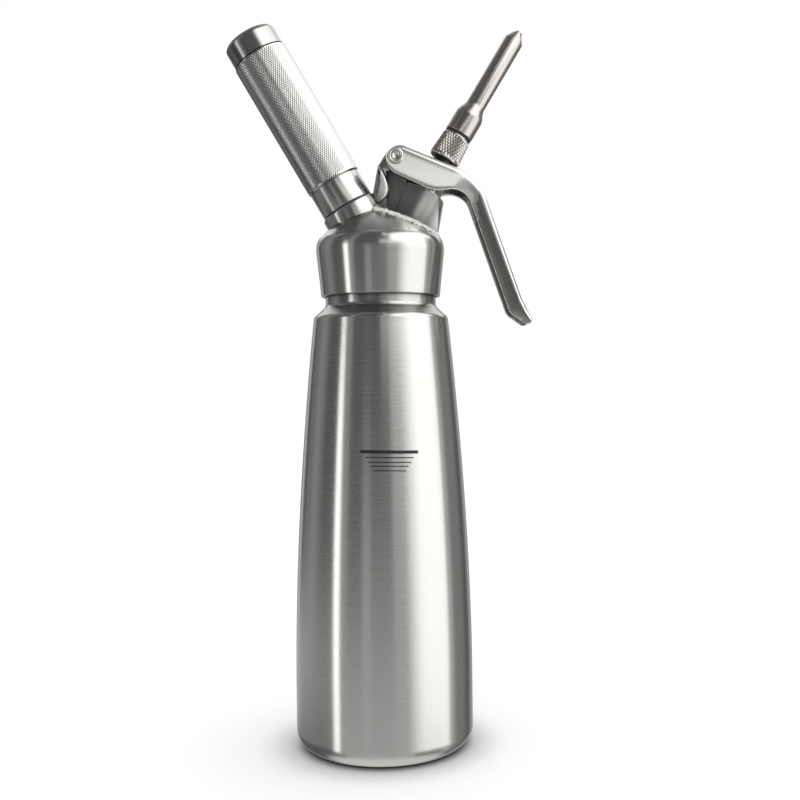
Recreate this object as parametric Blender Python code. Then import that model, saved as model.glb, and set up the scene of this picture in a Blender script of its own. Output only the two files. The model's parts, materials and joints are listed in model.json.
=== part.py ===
"""Whipped cream dispenser: steel bottle, head with piston valve and lever, charger holder and tulip nozzle.

Metres, +Z up. The origin is the centre of the bottle's base, and +X points to the nozzle and the lever.
Pieces on the two slanted axes are modelled along their own Z and hang on an empty that carries the tilt.
"""

import math

import bmesh
import bpy
from mathutils import Matrix, Vector

# Fits and overruns shared by all pieces
SEAT_GAP = 0.0003
RUNNING_GAP = 0.0003
CUT_OVERRUN = 0.004
WELD = 0.000002

# Rounding never takes more than these shares of what it rounds
ROUNDING_LIMIT_SHARE = 0.45
LIP_LIMIT_SHARE = 0.9
SIDE_START_SHARE = 1.02

# Facets round each kind of turned piece, and steps along its curves
BODY_FACETS = 40
BOSS_FACETS = 28
GRIP_FACETS = 28
SMALL_FACETS = 20
RING_FACETS = 16
WIRE_FACETS = 6
CORNER_FACETS = 4
SLOT_FACETS = 6
PIN_FACETS = 12
BODY_STEPS = 12
DOME_STEPS = 6

# Bottle
BODY_RADIUS = 0.0420
BELLY_HEIGHT = 0.0330
BASE_FLAT_RADIUS = 0.0335
BASE_CORNER_HEIGHT = 0.0085
SHOULDER_HEIGHT = 0.2042
SHOULDER_RADIUS = 0.0320
SHOULDER_ROUND = 0.0032
SHOULDER_TURN = math.radians(62)
NECK_RADIUS = 0.02615
NECK_FOOT_RISE = 0.0036
NECK_LENGTH = 0.0234
NECK_LIP = 0.0006
BODY_WALL = 0.0012
NECK_WALL = 0.0018
BODY_TAPER_POWER_SHARE = 1.8

# Head gasket, between the neck's rim and the land inside the head
GASKET_THICKNESS = 0.0032
GASKET_OUTER_RADIUS = 0.0258
GASKET_WIDTH = 0.0044

# Head: heights are above the land that the gasket seals on
SKIRT_DROP = 0.0227
SKIRT_FOOT_RADIUS = 0.0282
SKIRT_RADIUS = 0.0304
SKIRT_WIDEST_DROP = 0.0010
SKIRT_TOP_RISE = 0.0055
SKIRT_TOP_RADIUS = 0.0276
SKIRT_EDGE = 0.0006
DOME_RADIUS = 0.0350
RECESS_RADIUS = 0.0205
RECESS_RISE = 0.0080
THREAD_CLEARANCE = 0.00045

# Slanted axes: each crosses the bottle's axis this far under the land
NOZZLE_CROSS_DROP = 0.0084
NOZZLE_TILT = math.radians(31.0)
HOLDER_CROSS_DROP = 0.0057
HOLDER_TILT = math.radians(-30.1)

# Valve boss on the head, places along the nozzle axis
VALVE_BOSS_TOP = 0.0420
VALVE_BOSS_TOP_RADIUS = 0.0103
VALVE_BOSS_FOOT = 0.0140
VALVE_BOSS_FOOT_RADIUS = 0.0208
VALVE_BOSS_EDGE = 0.0007
FLAT_HALF_WIDTH = 0.0081
BOSS_SIDE_TOP_X = 0.0125
BOSS_SIDE_TOP_RISE = 0.0310
BOSS_SIDE_FOOT_X = 0.0065
BOSS_SIDE_FOOT_RISE = 0.0130
BOSS_SIDE_COVER = 0.0010

# Bores along the nozzle axis
CAGE_BORE_RADIUS = 0.0074
SEAT_PLACE = 0.0313
SEAT_BORE_RADIUS = 0.0049
GLAND_BORE_RADIUS = 0.0071
O_RING_SEAT = 0.0365

# Spring cage and valve spring
CAGE_WALL = 0.0011
CAGE_FOOT = 0.0120
CAGE_FLOOR = 0.0015
CAGE_TOP_GAP = 0.0013
CAGE_INLET_RADIUS = 0.0025
CAGE_PORT_WIDTH = 0.0036
CAGE_PORT_HEIGHT = 0.0050
SPRING_WIRE = 0.0010
SPRING_RADIUS = 0.0048
SPRING_END_PITCH_SHARE = 1.5
SPRING_TURNS = 6
SPRING_STEPS_PER_TURN = 8

# Valve stem, a hollow piston
POPPET_RADIUS = 0.0056
POPPET_THICKNESS = 0.0026
POPPET_PLACE = 0.0264
STEM_WAIST_RADIUS = 0.0033
STEM_RADIUS = 0.0045
STEM_BORE_RADIUS = 0.0023
STEM_PORT_RADIUS = 0.0012
STEM_SHOULDER_RADIUS = 0.0062
STEM_SHOULDER_THICKNESS = 0.0018
STEM_SHOULDER_SLOPE = 0.0003
STEM_TOP = 0.0680
VALVE_SEAL_RADIUS = 0.0054

# Gland nut and the rings round the stem
GLAND_NUT_TOP = 0.0470
GLAND_HEAD_RADIUS = 0.0078
STEM_RING_WIRE = 0.0017
WIPER_WIRE = 0.0014

# Nozzle adapter with its knurled grip, washer and tulip tip
ADAPTER_FOOT = 0.0597
ADAPTER_FOOT_RADIUS = 0.0077
ADAPTER_TOP = 0.0723
ADAPTER_TOP_RADIUS = 0.0069
ADAPTER_EDGE = 0.0005
ADAPTER_SPIGOT_RADIUS = 0.0045
ADAPTER_SPIGOT_LENGTH = 0.0070
WASHER_THICKNESS = 0.0007
TIP_SOCKET_DEPTH = 0.0078
TIP_FOOT_RADIUS = 0.00685
TIP_FOOT_LENGTH = 0.0092
TIP_SHOULDER_LENGTH = 0.0072
TIP_TUBE_RADIUS = 0.0047
TIP_LENGTH = 0.0574
TIP_CONE_LENGTH = 0.0062
TIP_END_RADIUS = 0.0021
TIP_WALL = 0.0009
TIP_SLITS = 6
TIP_SLIT_WIDTH = 0.0007
TIP_SLIT_DEPTH = 0.0050

# Charger boss on the head, inlet nipple, pin and seals, places along the holder axis
INLET_BOSS_RADIUS = 0.0138
INLET_BOSS_TOP = 0.0296
INLET_BOSS_FOOT = 0.0100
INLET_BOSS_EDGE = 0.0008
SHANK_RADIUS = 0.0060
SHANK_FOOT = 0.0178
NIPPLE_RADIUS = 0.0102
NIPPLE_LENGTH = 0.0112
NIPPLE_CUP_RADIUS = 0.0050
NIPPLE_CUP_DEPTH = 0.0078
NIPPLE_RING_WIRE = 0.0014
PIN_RADIUS = 0.0015
PIN_BORE_RADIUS = 0.0006
PIN_DEPTH = 0.0050
PIN_REACH = 0.0032
PIN_POINT = 0.0014
CHARGER_SEAL_THICKNESS = 0.0016
GAS_BORE_RADIUS = 0.0014
CHECK_VALVE_RADIUS = 0.0040
CHECK_VALVE_THICKNESS = 0.0022
CHECK_VALVE_LIP = 0.0024
CHECK_VALVE_ROOT_SHARE = 0.7
CHECK_POCKET_TOP = 0.0152

# Charger bulb
CHARGER_LENGTH = 0.0650
CHARGER_RADIUS = 0.0089
CHARGER_NECK_RADIUS = 0.0044
CHARGER_NECK_LENGTH = 0.0085
CHARGER_SHOULDER_LENGTH = 0.0080
CHARGER_PIERCED_DEPTH = 0.0030

# Charger holder: tube, knurled grip and end cap
COLLAR_RADIUS = 0.0127
COLLAR_LENGTH = 0.0127
HOLDER_TUBE_RADIUS = 0.0113
HOLDER_BORE_RADIUS = 0.0093
GRIP_RADIUS = 0.0133
GRIP_LENGTH = 0.0683
GRIP_EDGE = 0.0004
CAP_RADIUS = 0.0128
CAP_LENGTH = 0.0104
CAP_EDGE = 0.0024
CAP_DOME = 0.0005
CAP_HOLLOW_SHARE = 0.8

# Lever, in the X and Z of its pivot pin
PIVOT_X = 0.00745
PIVOT_RISE = 0.0424
LEVER_SHEET = 0.0015
LEVER_HALF_WIDTH = 0.0100
HANDLE_HALF_WIDTH = 0.0086
LEVER_BEND = 0.0030
LEVER_ZONE_POINTS = (6, 7, 8, 3, 5)
TIP_WEB_SHARES = (0.3, 0.55, 0.85)
ARM_SLOPE = math.radians(22.2)
ARM_TOP_OFFSET = 0.0066
ARM_LENGTH = 0.0399
ARM_END_REACH = 0.00415
ARM_END_ROUND = 0.0062
KNEE_ROUND = 0.0270
HANDLE_SLOPE = math.radians(19.1)
HANDLE_RUN = 0.0602
HANDLE_DEPTH = 0.0079
HANDLE_SIDE_DEPTH = 0.0038
HANDLE_LIP_INSET = 0.0012
TIP_FLARE_SLOPE = math.radians(27.0)
TIP_FLARE_ROUND = 0.0150
TIP_CUT_SLOPE = math.radians(35.0)
TIP_CUT_DROP = 0.0057
TIP_ROUND = 0.0024
PLATE_EDGE_SLOPE = math.radians(24.5)
PLATE_EDGE_OFFSET = 0.0075
PLATE_CORNER_ROUND = 0.0075
SILL_SLOPE = math.radians(6.8)
SILL_OFFSET = 0.0182
HEEL_ROUND = 0.0140
CROOK_ROUND = 0.0095
FINGER_END_ROUND = 0.0060
FORK_DEPTH = 0.0105
FORK_RELIEF = 0.0001
STEM_SLOT_RADIUS = 0.0051
STEM_SLOT_TRAVEL = 0.0018

# Pivot pin with its thrust washers and retaining ring
PIN_SHAFT_RADIUS = 0.0022
PIN_HEAD_RADIUS = 0.0036
PIN_HEAD_HEIGHT = 0.0019
PIN_TAIL = 0.0006
RETAINER_RADIUS = 0.0034
RETAINER_THICKNESS = 0.0012
THRUST_WASHER_RADIUS = 0.0046

# Lug on the head that carries the pivot
LUG_HALF_WIDTH = 0.0062
LUG_EYE_RADIUS = 0.0050
LUG_BACK_X = -0.0008
LUG_BACK_RISE = 0.0392
LUG_FOOT_RISE = 0.0150
LUG_FOOT_X = -0.0052
LUG_FRONT_X = 0.0125
LUG_FRONT_FOOT_X = 0.0150
LUG_CORNER = 0.0021
LUG_FLARE = 0.0032
LUG_FLARE_RISE = 0.0245

# Places worked out from the sizes above
NECK_FOOT_HEIGHT = SHOULDER_HEIGHT + NECK_FOOT_RISE
NECK_TOP_HEIGHT = NECK_FOOT_HEIGHT + NECK_LENGTH
LAND_HEIGHT = NECK_TOP_HEIGHT + 2 * SEAT_GAP + GASKET_THICKNESS
PIVOT = Vector((PIVOT_X, 0, LAND_HEIGHT + PIVOT_RISE))
STEEL = (0.66, 0.655, 0.64, 1)
POLISHED = (0.78, 0.78, 0.77, 1)
GUNMETAL = (0.42, 0.41, 0.40, 1)
BRASS = (0.72, 0.55, 0.28, 1)
SILICONE = (0.30, 0.30, 0.31, 1)


def clear_scene():
    for obj in list(bpy.data.objects):
        bpy.data.objects.remove(obj)


def make_material(name, colour, roughness, metallic):
    material = bpy.data.materials.new(name)
    material.use_nodes = True
    shader = material.node_tree.nodes["Principled BSDF"]
    shader.inputs["Base Color"].default_value = colour
    shader.inputs["Roughness"].default_value = roughness
    shader.inputs["Metallic"].default_value = metallic
    return material


def make_empty(name, location, tilt=0.0, parent=None):
    empty = bpy.data.objects.new(name, None)
    bpy.context.scene.collection.objects.link(empty)
    empty.parent = parent
    empty.location = location
    empty.rotation_euler = (0, tilt, 0)
    return empty


def object_from(name, bm, material=None, parent=None, smooth=math.radians(35)):
    bmesh.ops.recalc_face_normals(bm, faces=bm.faces)
    mesh = bpy.data.meshes.new(name)
    bm.to_mesh(mesh)
    bm.free()
    mesh.shade_smooth()
    mesh.set_sharp_from_angle(angle=smooth)
    obj = bpy.data.objects.new(name, mesh)
    bpy.context.scene.collection.objects.link(obj)
    if material:
        mesh.materials.append(material)
    obj.parent = parent
    return obj


def turned(name, outline, facets, material=None, parent=None):
    """A solid of revolution about Z from a closed outline of (radius, height) points."""
    bm = bmesh.new()
    verts = [bm.verts.new((radius, 0, height)) for radius, height in outline]
    edges = [bm.edges.new((verts[i - 1], verts[i])) for i in range(len(verts))]
    bmesh.ops.spin(
        bm,
        geom=verts + edges,
        axis=(0, 0, 1),
        cent=(0, 0, 0),
        angle=math.tau,
        steps=facets,
        use_merge=True,
        use_duplicate=False,
    )
    bmesh.ops.remove_doubles(bm, verts=bm.verts, dist=WELD)
    on_axis = [edge for edge in bm.edges if not edge.link_faces]
    bmesh.ops.delete(bm, geom=on_axis, context="EDGES")
    return object_from(name, bm, material, parent)


def cylinder_outline(radius, low, high):
    return [(0, low), (radius, low), (radius, high), (0, high)]


def tube_outline(inner, outer, low, high):
    return [(inner, low), (outer, low), (outer, high), (inner, high)]


def arc(centre, radius, start, end, count=CORNER_FACETS):
    """Points of a circular arc in a plane, angles in radians, both ends included."""
    return [
        (
            centre[0] + radius * math.cos(start + (end - start) * i / count),
            centre[1] + radius * math.sin(start + (end - start) * i / count),
        )
        for i in range(count + 1)
    ]


def ring(name, centre_radius, wire, height, material, parent):
    """An O-ring: a turned circle."""
    section = arc((centre_radius, height), wire / 2, 0, math.tau, WIRE_FACETS)[:-1]
    return turned(name, section, RING_FACETS, material, parent)


def prism(name, outline, low_y, high_y, material=None, parent=None):
    """A flat outline of (x, z) points extruded along Y."""
    bm = bmesh.new()
    face = bm.faces.new([bm.verts.new((x, low_y, z)) for x, z in outline])
    grown = bmesh.ops.extrude_face_region(bm, geom=[face])["geom"]
    moved = [item for item in grown if isinstance(item, bmesh.types.BMVert)]
    bmesh.ops.translate(bm, verts=moved, vec=(0, high_y - low_y, 0))
    return object_from(name, bm, material, parent)


def lofted(name, sections, material=None, parent=None):
    """Closed rings of equally many points, bridged one to the next and capped at both ends."""
    bm = bmesh.new()
    rings = [[bm.verts.new(point) for point in section] for section in sections]
    for low, high in zip(rings, rings[1:]):
        for i in range(len(low)):
            bm.faces.new((low[i - 1], low[i], high[i], high[i - 1]))
    bm.faces.new(rings[0])
    bm.faces.new(rings[-1])
    bmesh.ops.remove_doubles(bm, verts=bm.verts, dist=WELD)
    return object_from(name, bm, material, parent)


def as_cutter(obj):
    obj.hide_render = True
    obj.display_type = "WIRE"
    return obj


def combine(obj, other, operation):
    modifier = obj.modifiers.new(other.name, "BOOLEAN")
    modifier.operation = operation
    modifier.object = as_cutter(other)


def power_taper(share):
    return share**BODY_TAPER_POWER_SHARE


def bottle_side(inset, steps):
    """The bottle's outline from the base's flat to the shoulder, drawn in by a wall."""
    corner_radius = BODY_RADIUS - BASE_FLAT_RADIUS
    corner = [
        (
            BASE_FLAT_RADIUS + (corner_radius - inset) * math.sin(angle),
            BASE_CORNER_HEIGHT - (BASE_CORNER_HEIGHT - inset) * math.cos(angle),
        )
        for angle in (math.pi / steps * i for i in range(steps // 2 + 1))
    ]
    shoulder_start = SHOULDER_HEIGHT - SHOULDER_ROUND
    sides = []
    for i in range(steps):
        share = i / (steps - 1)
        height = BELLY_HEIGHT + (shoulder_start - BELLY_HEIGHT) * share
        drop = (BODY_RADIUS - SHOULDER_RADIUS) * power_taper(share)
        sides.append((BODY_RADIUS - drop - inset, height))
    round_centre = (SHOULDER_RADIUS - SHOULDER_ROUND, shoulder_start)
    shoulder = arc(round_centre, SHOULDER_ROUND - inset, 0, SHOULDER_TURN, steps // 3)[1:]
    return corner + sides + shoulder


def build_bottle(material):
    """Drawn shell with a flat base, a tapering belly and a straight neck, open at the top."""
    outer = [(0, 0)] + bottle_side(0, BODY_STEPS)
    outer += [(NECK_RADIUS, NECK_FOOT_HEIGHT), (NECK_RADIUS, NECK_TOP_HEIGHT - NECK_LIP)]
    outer += [(NECK_RADIUS - NECK_LIP, NECK_TOP_HEIGHT)]
    bore = NECK_RADIUS - NECK_WALL
    inner = [(0, BODY_WALL)] + bottle_side(BODY_WALL, BODY_STEPS // 2)
    inner += [(bore, NECK_FOOT_HEIGHT - BODY_WALL / 2), (bore, NECK_TOP_HEIGHT)]
    return turned("bottle", outer + inner[::-1], BODY_FACETS, material)


def build_gasket(material, head):
    outline = tube_outline(
        GASKET_OUTER_RADIUS - GASKET_WIDTH,
        GASKET_OUTER_RADIUS,
        -SEAT_GAP - GASKET_THICKNESS,
        -SEAT_GAP,
    )
    return turned("head_gasket", outline, BODY_FACETS, material, head)


def dome_outline():
    """From the skirt's top edge over the dome to the axis."""
    centre = SKIRT_TOP_RISE - math.sqrt(DOME_RADIUS**2 - SKIRT_TOP_RADIUS**2)
    edge_angle = math.asin(SKIRT_TOP_RADIUS / DOME_RADIUS)
    points = []
    for i in range(DOME_STEPS + 1):
        angle = edge_angle * (1 - i / DOME_STEPS)
        points.append((DOME_RADIUS * math.sin(angle), centre + DOME_RADIUS * math.cos(angle)))
    return points


def head_body(material, head):
    """Skirt and dome, still without its bores."""
    shoulder_height = SKIRT_TOP_RISE + SKIRT_WIDEST_DROP
    shoulder_depth = SKIRT_RADIUS - SKIRT_TOP_RADIUS
    shoulder = [
        (
            SKIRT_TOP_RADIUS + shoulder_depth * math.cos(angle),
            shoulder_height * math.sin(angle) - SKIRT_WIDEST_DROP,
        )
        for angle in (math.pi / 2 * i / 6 for i in range(6))
    ]
    outline = [
        (0, -SKIRT_DROP),
        (SKIRT_FOOT_RADIUS - SKIRT_EDGE, -SKIRT_DROP),
        (SKIRT_FOOT_RADIUS, -SKIRT_DROP + SKIRT_EDGE),
    ]
    outline += shoulder + dome_outline()
    return turned("head", outline, BODY_FACETS, material, head)


def lug_level(rise):
    """How far the lug reaches along X, and its half width, at one height above the land."""
    across = math.sqrt(max(LUG_EYE_RADIUS**2 - (rise - PIVOT_RISE) ** 2, 0))
    front = PIVOT_X + across
    back = PIVOT_X - across
    if rise < PIVOT_RISE:
        share = (PIVOT_RISE - rise) / (PIVOT_RISE - LUG_FOOT_RISE)
        front = LUG_FRONT_X + (LUG_FRONT_FOOT_X - LUG_FRONT_X) * share
    if rise < LUG_BACK_RISE:
        share = (LUG_BACK_RISE - rise) / (LUG_BACK_RISE - LUG_FOOT_RISE)
        back = LUG_BACK_X + (LUG_FOOT_X - LUG_BACK_X) * share
    elif rise < PIVOT_RISE + LUG_EYE_RADIUS / 2:
        top = PIVOT_RISE + LUG_EYE_RADIUS / 2
        share = (rise - LUG_BACK_RISE) / (top - LUG_BACK_RISE)
        edge = PIVOT_X - LUG_EYE_RADIUS * math.cos(math.radians(30))
        back = LUG_BACK_X + (edge - LUG_BACK_X) * share
    flare = 0.0
    if rise < LUG_FLARE_RISE:
        share = (LUG_FLARE_RISE - rise) / (LUG_FLARE_RISE - LUG_FOOT_RISE)
        flare = LUG_FLARE * (1 - math.sqrt(1 - min(share, 1) ** 2))
    return back, front, LUG_HALF_WIDTH + flare


def rounded_box_ring(low, high, half_width, corner, height):
    """A rounded rectangle in X and Y at one height."""
    corner = min(corner, (high - low) * ROUNDING_LIMIT_SHARE)
    centres = (
        (high - corner, half_width - corner, 0),
        (low + corner, half_width - corner, 1),
        (low + corner, corner - half_width, 2),
        (high - corner, corner - half_width, 3),
    )
    points = []
    for x, y, quarter in centres:
        for px, py in arc((x, y), corner, quarter * math.pi / 2, (quarter + 1) * math.pi / 2, 3):
            points.append((px, py, height))
    return points


def build_lug(head):
    """Upright lug that grows out of the dome and ends in the pivot's eye."""
    rises = [LUG_FOOT_RISE + (LUG_FLARE_RISE - LUG_FOOT_RISE) * i / 4 for i in range(4)]
    rises += [LUG_FLARE_RISE, LUG_BACK_RISE]
    eye_steps = 8
    for i in range(eye_steps):
        angle = math.pi / 2 * i / eye_steps
        rises.append(PIVOT_RISE + LUG_EYE_RADIUS * math.sin(angle))
    sections = []
    for rise in rises:
        back, front, half_width = lug_level(rise)
        sections.append(rounded_box_ring(back, front, half_width, LUG_CORNER, rise))
    return lofted("lug_form", sections, parent=head)


def valve_boss(axis):
    edge = VALVE_BOSS_EDGE
    outline = [
        (0, VALVE_BOSS_FOOT),
        (VALVE_BOSS_FOOT_RADIUS, VALVE_BOSS_FOOT),
        (VALVE_BOSS_TOP_RADIUS, VALVE_BOSS_TOP - edge),
        (VALVE_BOSS_TOP_RADIUS - edge, VALVE_BOSS_TOP),
        (0, VALVE_BOSS_TOP),
    ]
    return turned("valve_boss_form", outline, BOSS_FACETS, parent=axis)


def inlet_boss(axis):
    edge = INLET_BOSS_EDGE
    outline = [
        (0, INLET_BOSS_FOOT),
        (INLET_BOSS_RADIUS, INLET_BOSS_FOOT),
        (INLET_BOSS_RADIUS, INLET_BOSS_TOP - edge),
        (INLET_BOSS_RADIUS - edge, INLET_BOSS_TOP),
        (0, INLET_BOSS_TOP),
    ]
    return turned("inlet_boss_form", outline, BOSS_FACETS, parent=axis)


def valve_bores(axis):
    """Stepped bore for cage, seat and gland, from the recess out through the boss."""
    gap = SEAT_GAP
    outline = [
        (0, CAGE_FOOT - CUT_OVERRUN),
        (CAGE_BORE_RADIUS, CAGE_FOOT - CUT_OVERRUN),
        (CAGE_BORE_RADIUS, SEAT_PLACE),
        (SEAT_BORE_RADIUS, SEAT_PLACE),
        (SEAT_BORE_RADIUS, O_RING_SEAT),
        (GLAND_BORE_RADIUS + gap, O_RING_SEAT),
        (GLAND_BORE_RADIUS + gap, VALVE_BOSS_TOP + CUT_OVERRUN),
        (0, VALVE_BOSS_TOP + CUT_OVERRUN),
    ]
    return turned("valve_bores", outline, SMALL_FACETS, parent=axis)


def inlet_bores(axis):
    """Gas way from the boss's face to the recess, with the shank's socket and the check valve's pocket."""
    pocket = CHECK_VALVE_RADIUS + SEAT_GAP
    shank = SHANK_RADIUS + SEAT_GAP
    groove = NIPPLE_RADIUS - NIPPLE_RING_WIRE
    outline = [
        (0, INLET_BOSS_FOOT - CUT_OVERRUN),
        (pocket, INLET_BOSS_FOOT - CUT_OVERRUN),
        (pocket, CHECK_POCKET_TOP),
        (GAS_BORE_RADIUS, CHECK_POCKET_TOP),
        (GAS_BORE_RADIUS, SHANK_FOOT - SEAT_GAP),
        (shank, SHANK_FOOT - SEAT_GAP),
        (shank, INLET_BOSS_TOP - NIPPLE_RING_WIRE),
        (groove, INLET_BOSS_TOP - NIPPLE_RING_WIRE),
        (groove, INLET_BOSS_TOP + CUT_OVERRUN),
        (0, INLET_BOSS_TOP + CUT_OVERRUN),
    ]
    return turned("inlet_bores", outline, SMALL_FACETS, parent=axis)


def neck_cavity(head):
    """Threaded bore for the neck, the land and the recess over it."""
    bore = NECK_RADIUS + THREAD_CLEARANCE
    outline = [
        (0, -SKIRT_DROP - CUT_OVERRUN),
        (bore, -SKIRT_DROP - CUT_OVERRUN),
        (bore, 0),
        (RECESS_RADIUS, 0),
        (RECESS_RADIUS, RECESS_RISE),
        (0, RECESS_RISE),
    ]
    return turned("neck_cavity", outline, BODY_FACETS, parent=head)


def lever_flats(head, side):
    """Milled flat on one side of the valve boss, beside one cheek of the lever."""
    reach = SKIRT_RADIUS + CUT_OVERRUN
    outline = [(-reach, 0), (reach, 0), (reach, PIVOT_RISE), (-reach, PIVOT_RISE)]
    low, high = sorted((side * FLAT_HALF_WIDTH, side * (FLAT_HALF_WIDTH + reach)))
    return prism(f"lever_flat_{'far' if side > 0 else 'near'}", outline, low, high, parent=head)


def boss_side(head, side):
    """Steep back of the valve boss on one side of the lug."""
    reach = SKIRT_RADIUS + CUT_OVERRUN
    outline = [
        (BOSS_SIDE_FOOT_X, BOSS_SIDE_FOOT_RISE),
        (BOSS_SIDE_TOP_X, BOSS_SIDE_TOP_RISE),
        (BOSS_SIDE_TOP_X, PIVOT_RISE),
        (-reach, PIVOT_RISE),
        (-reach, BOSS_SIDE_FOOT_RISE),
    ]
    start = LUG_HALF_WIDTH - BOSS_SIDE_COVER
    low, high = sorted((side * start, side * (start + reach)))
    return prism(f"boss_side_{'far' if side > 0 else 'near'}", outline, low, high, parent=head)


def cross_bore(name, radius, half_length, location, parent=None):
    """A cylinder along Y."""
    bore = turned(name, cylinder_outline(radius, -half_length, half_length), SMALL_FACETS, parent=parent)
    bore.rotation_euler = (math.pi / 2, 0, 0)
    bore.location = location
    return bore


def build_head(material, head, nozzle_axis, holder_axis):
    """The casting: skirt, dome, two bosses and the pivot's lug, then all its bores."""
    body = head_body(material, head)
    boss = valve_boss(nozzle_axis)
    for side in (-1, 1):
        combine(boss, lever_flats(head, side), "DIFFERENCE")
        combine(boss, boss_side(head, side), "DIFFERENCE")
    combine(body, boss, "UNION")
    combine(body, inlet_boss(holder_axis), "UNION")
    combine(body, build_lug(head), "UNION")
    combine(body, neck_cavity(head), "DIFFERENCE")
    combine(body, valve_bores(nozzle_axis), "DIFFERENCE")
    combine(body, inlet_bores(holder_axis), "DIFFERENCE")
    reach = LUG_HALF_WIDTH + CUT_OVERRUN
    eye = cross_bore("pivot_eye", PIN_SHAFT_RADIUS + RUNNING_GAP, reach, (PIVOT_X, 0, PIVOT_RISE), head)
    combine(body, eye, "DIFFERENCE")
    return body


def build_cage(material, axis):
    """Cup screwed up into the valve bore: it holds the spring and lets the cream in."""
    outer = CAGE_BORE_RADIUS - SEAT_GAP
    inner = outer - CAGE_WALL
    top = SEAT_PLACE - CAGE_TOP_GAP
    outline = [
        (CAGE_INLET_RADIUS, CAGE_FOOT),
        (outer, CAGE_FOOT),
        (outer, top),
        (inner, top),
        (inner, CAGE_FOOT + CAGE_FLOOR),
        (CAGE_INLET_RADIUS, CAGE_FOOT + CAGE_FLOOR),
    ]
    cage = turned("spring_cage", outline, SMALL_FACETS, material, axis)
    low = CAGE_FOOT + CAGE_FLOOR + CAGE_WALL
    for number, turn in enumerate((0, math.pi / 2)):
        half = CAGE_PORT_WIDTH / 2
        box = [(-half, low), (half, low), (half, low + CAGE_PORT_HEIGHT), (-half, low + CAGE_PORT_HEIGHT)]
        port = prism(f"cage_port_{number}", box, -outer - CUT_OVERRUN, outer + CUT_OVERRUN, parent=axis)
        port.rotation_euler = (0, 0, turn)
        combine(cage, port, "DIFFERENCE")
    return cage


def spring_points():
    """Centre line of the valve spring: even turns with closed, flat end turns."""
    low = CAGE_FOOT + CAGE_FLOOR + SEAT_GAP + SPRING_WIRE / 2
    high = POPPET_PLACE - SEAT_GAP - SPRING_WIRE / 2
    end_pitch = SPRING_WIRE * SPRING_END_PITCH_SHARE
    middle_pitch = (high - low - 2 * end_pitch) / (SPRING_TURNS - 2)
    points = []
    for step in range(SPRING_TURNS * SPRING_STEPS_PER_TURN + 1):
        turns = step / SPRING_STEPS_PER_TURN
        rise = end_pitch * min(turns, 1)
        rise += middle_pitch * min(max(turns - 1, 0), SPRING_TURNS - 2)
        rise += end_pitch * max(turns - SPRING_TURNS + 1, 0)
        angle = math.tau * turns
        points.append(
            Vector((SPRING_RADIUS * math.cos(angle), SPRING_RADIUS * math.sin(angle), low + rise))
        )
    return points


def report_spring_gap(points):
    """Prints the least gap between one turn's wire and the next's."""
    apart = SPRING_STEPS_PER_TURN // 2
    least = min(
        (a - b).length
        for i, a in enumerate(points)
        for b in points[i + apart :]
    )
    print(f"valve spring: least gap to itself {(least - SPRING_WIRE) * 1000:.2f} mm")


def build_spring(material, axis):
    points = spring_points()
    report_spring_gap(points)
    curve = bpy.data.curves.new("valve_spring", "CURVE")
    curve.dimensions = "3D"
    curve.bevel_depth = SPRING_WIRE / 2
    curve.bevel_resolution = 1
    curve.use_fill_caps = True
    spline = curve.splines.new("POLY")
    spline.points.add(len(points) - 1)
    for target, point in zip(spline.points, points):
        target.co = (*point, 1)
    curve.materials.append(material)
    spring = bpy.data.objects.new("valve_spring", curve)
    bpy.context.scene.collection.objects.link(spring)
    spring.parent = axis
    return spring


def build_stem(material, axis):
    """Hollow piston: poppet, waist with cross ports, shoulder under the lever and a plain top."""
    poppet_top = POPPET_PLACE + POPPET_THICKNESS
    shoulder_top = stem_shoulder_top()
    outline = [
        (0, POPPET_PLACE),
        (POPPET_RADIUS, POPPET_PLACE),
        (POPPET_RADIUS, poppet_top),
        (STEM_WAIST_RADIUS, poppet_top),
        (STEM_WAIST_RADIUS, O_RING_SEAT - STEM_RING_WIRE),
        (STEM_RADIUS, O_RING_SEAT - STEM_RING_WIRE / 2),
        (STEM_RADIUS, shoulder_top - STEM_SHOULDER_THICKNESS),
        (STEM_SHOULDER_RADIUS, shoulder_top - STEM_SHOULDER_THICKNESS),
        (STEM_SHOULDER_RADIUS, shoulder_top - STEM_SHOULDER_SLOPE),
        (STEM_RADIUS, shoulder_top),
        (STEM_RADIUS, STEM_TOP - STEM_RADIUS / 8),
        (STEM_RADIUS - STEM_RADIUS / 8, STEM_TOP),
        (STEM_BORE_RADIUS, STEM_TOP),
        (STEM_BORE_RADIUS, poppet_top),
        (0, poppet_top),
    ]
    stem = turned("valve_stem", outline, SMALL_FACETS, material, axis)
    port_height = (poppet_top + O_RING_SEAT) / 2
    for number, turn in enumerate((0, math.pi / 2)):
        hole = cylinder_outline(STEM_PORT_RADIUS, -STEM_RADIUS, STEM_RADIUS)
        port = turned(f"stem_port_{number}", hole, PIN_FACETS, parent=axis)
        port.rotation_euler = (math.pi / 2, 0, turn)
        port.location = (0, 0, port_height)
        combine(stem, port, "DIFFERENCE")
    return stem


def arm_place_on_stem():
    """Where the lever's web lies on the nozzle axis: its upper face, measured along the axis."""
    cross = LAND_HEIGHT - NOZZLE_CROSS_DROP
    normal = Vector((math.sin(ARM_SLOPE), 0, math.cos(ARM_SLOPE)))
    top = PIVOT + normal * ARM_TOP_OFFSET
    direction = Vector((math.sin(NOZZLE_TILT), 0, math.cos(NOZZLE_TILT)))
    return (top - Vector((0, 0, cross))).dot(normal) / direction.dot(normal)


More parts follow.
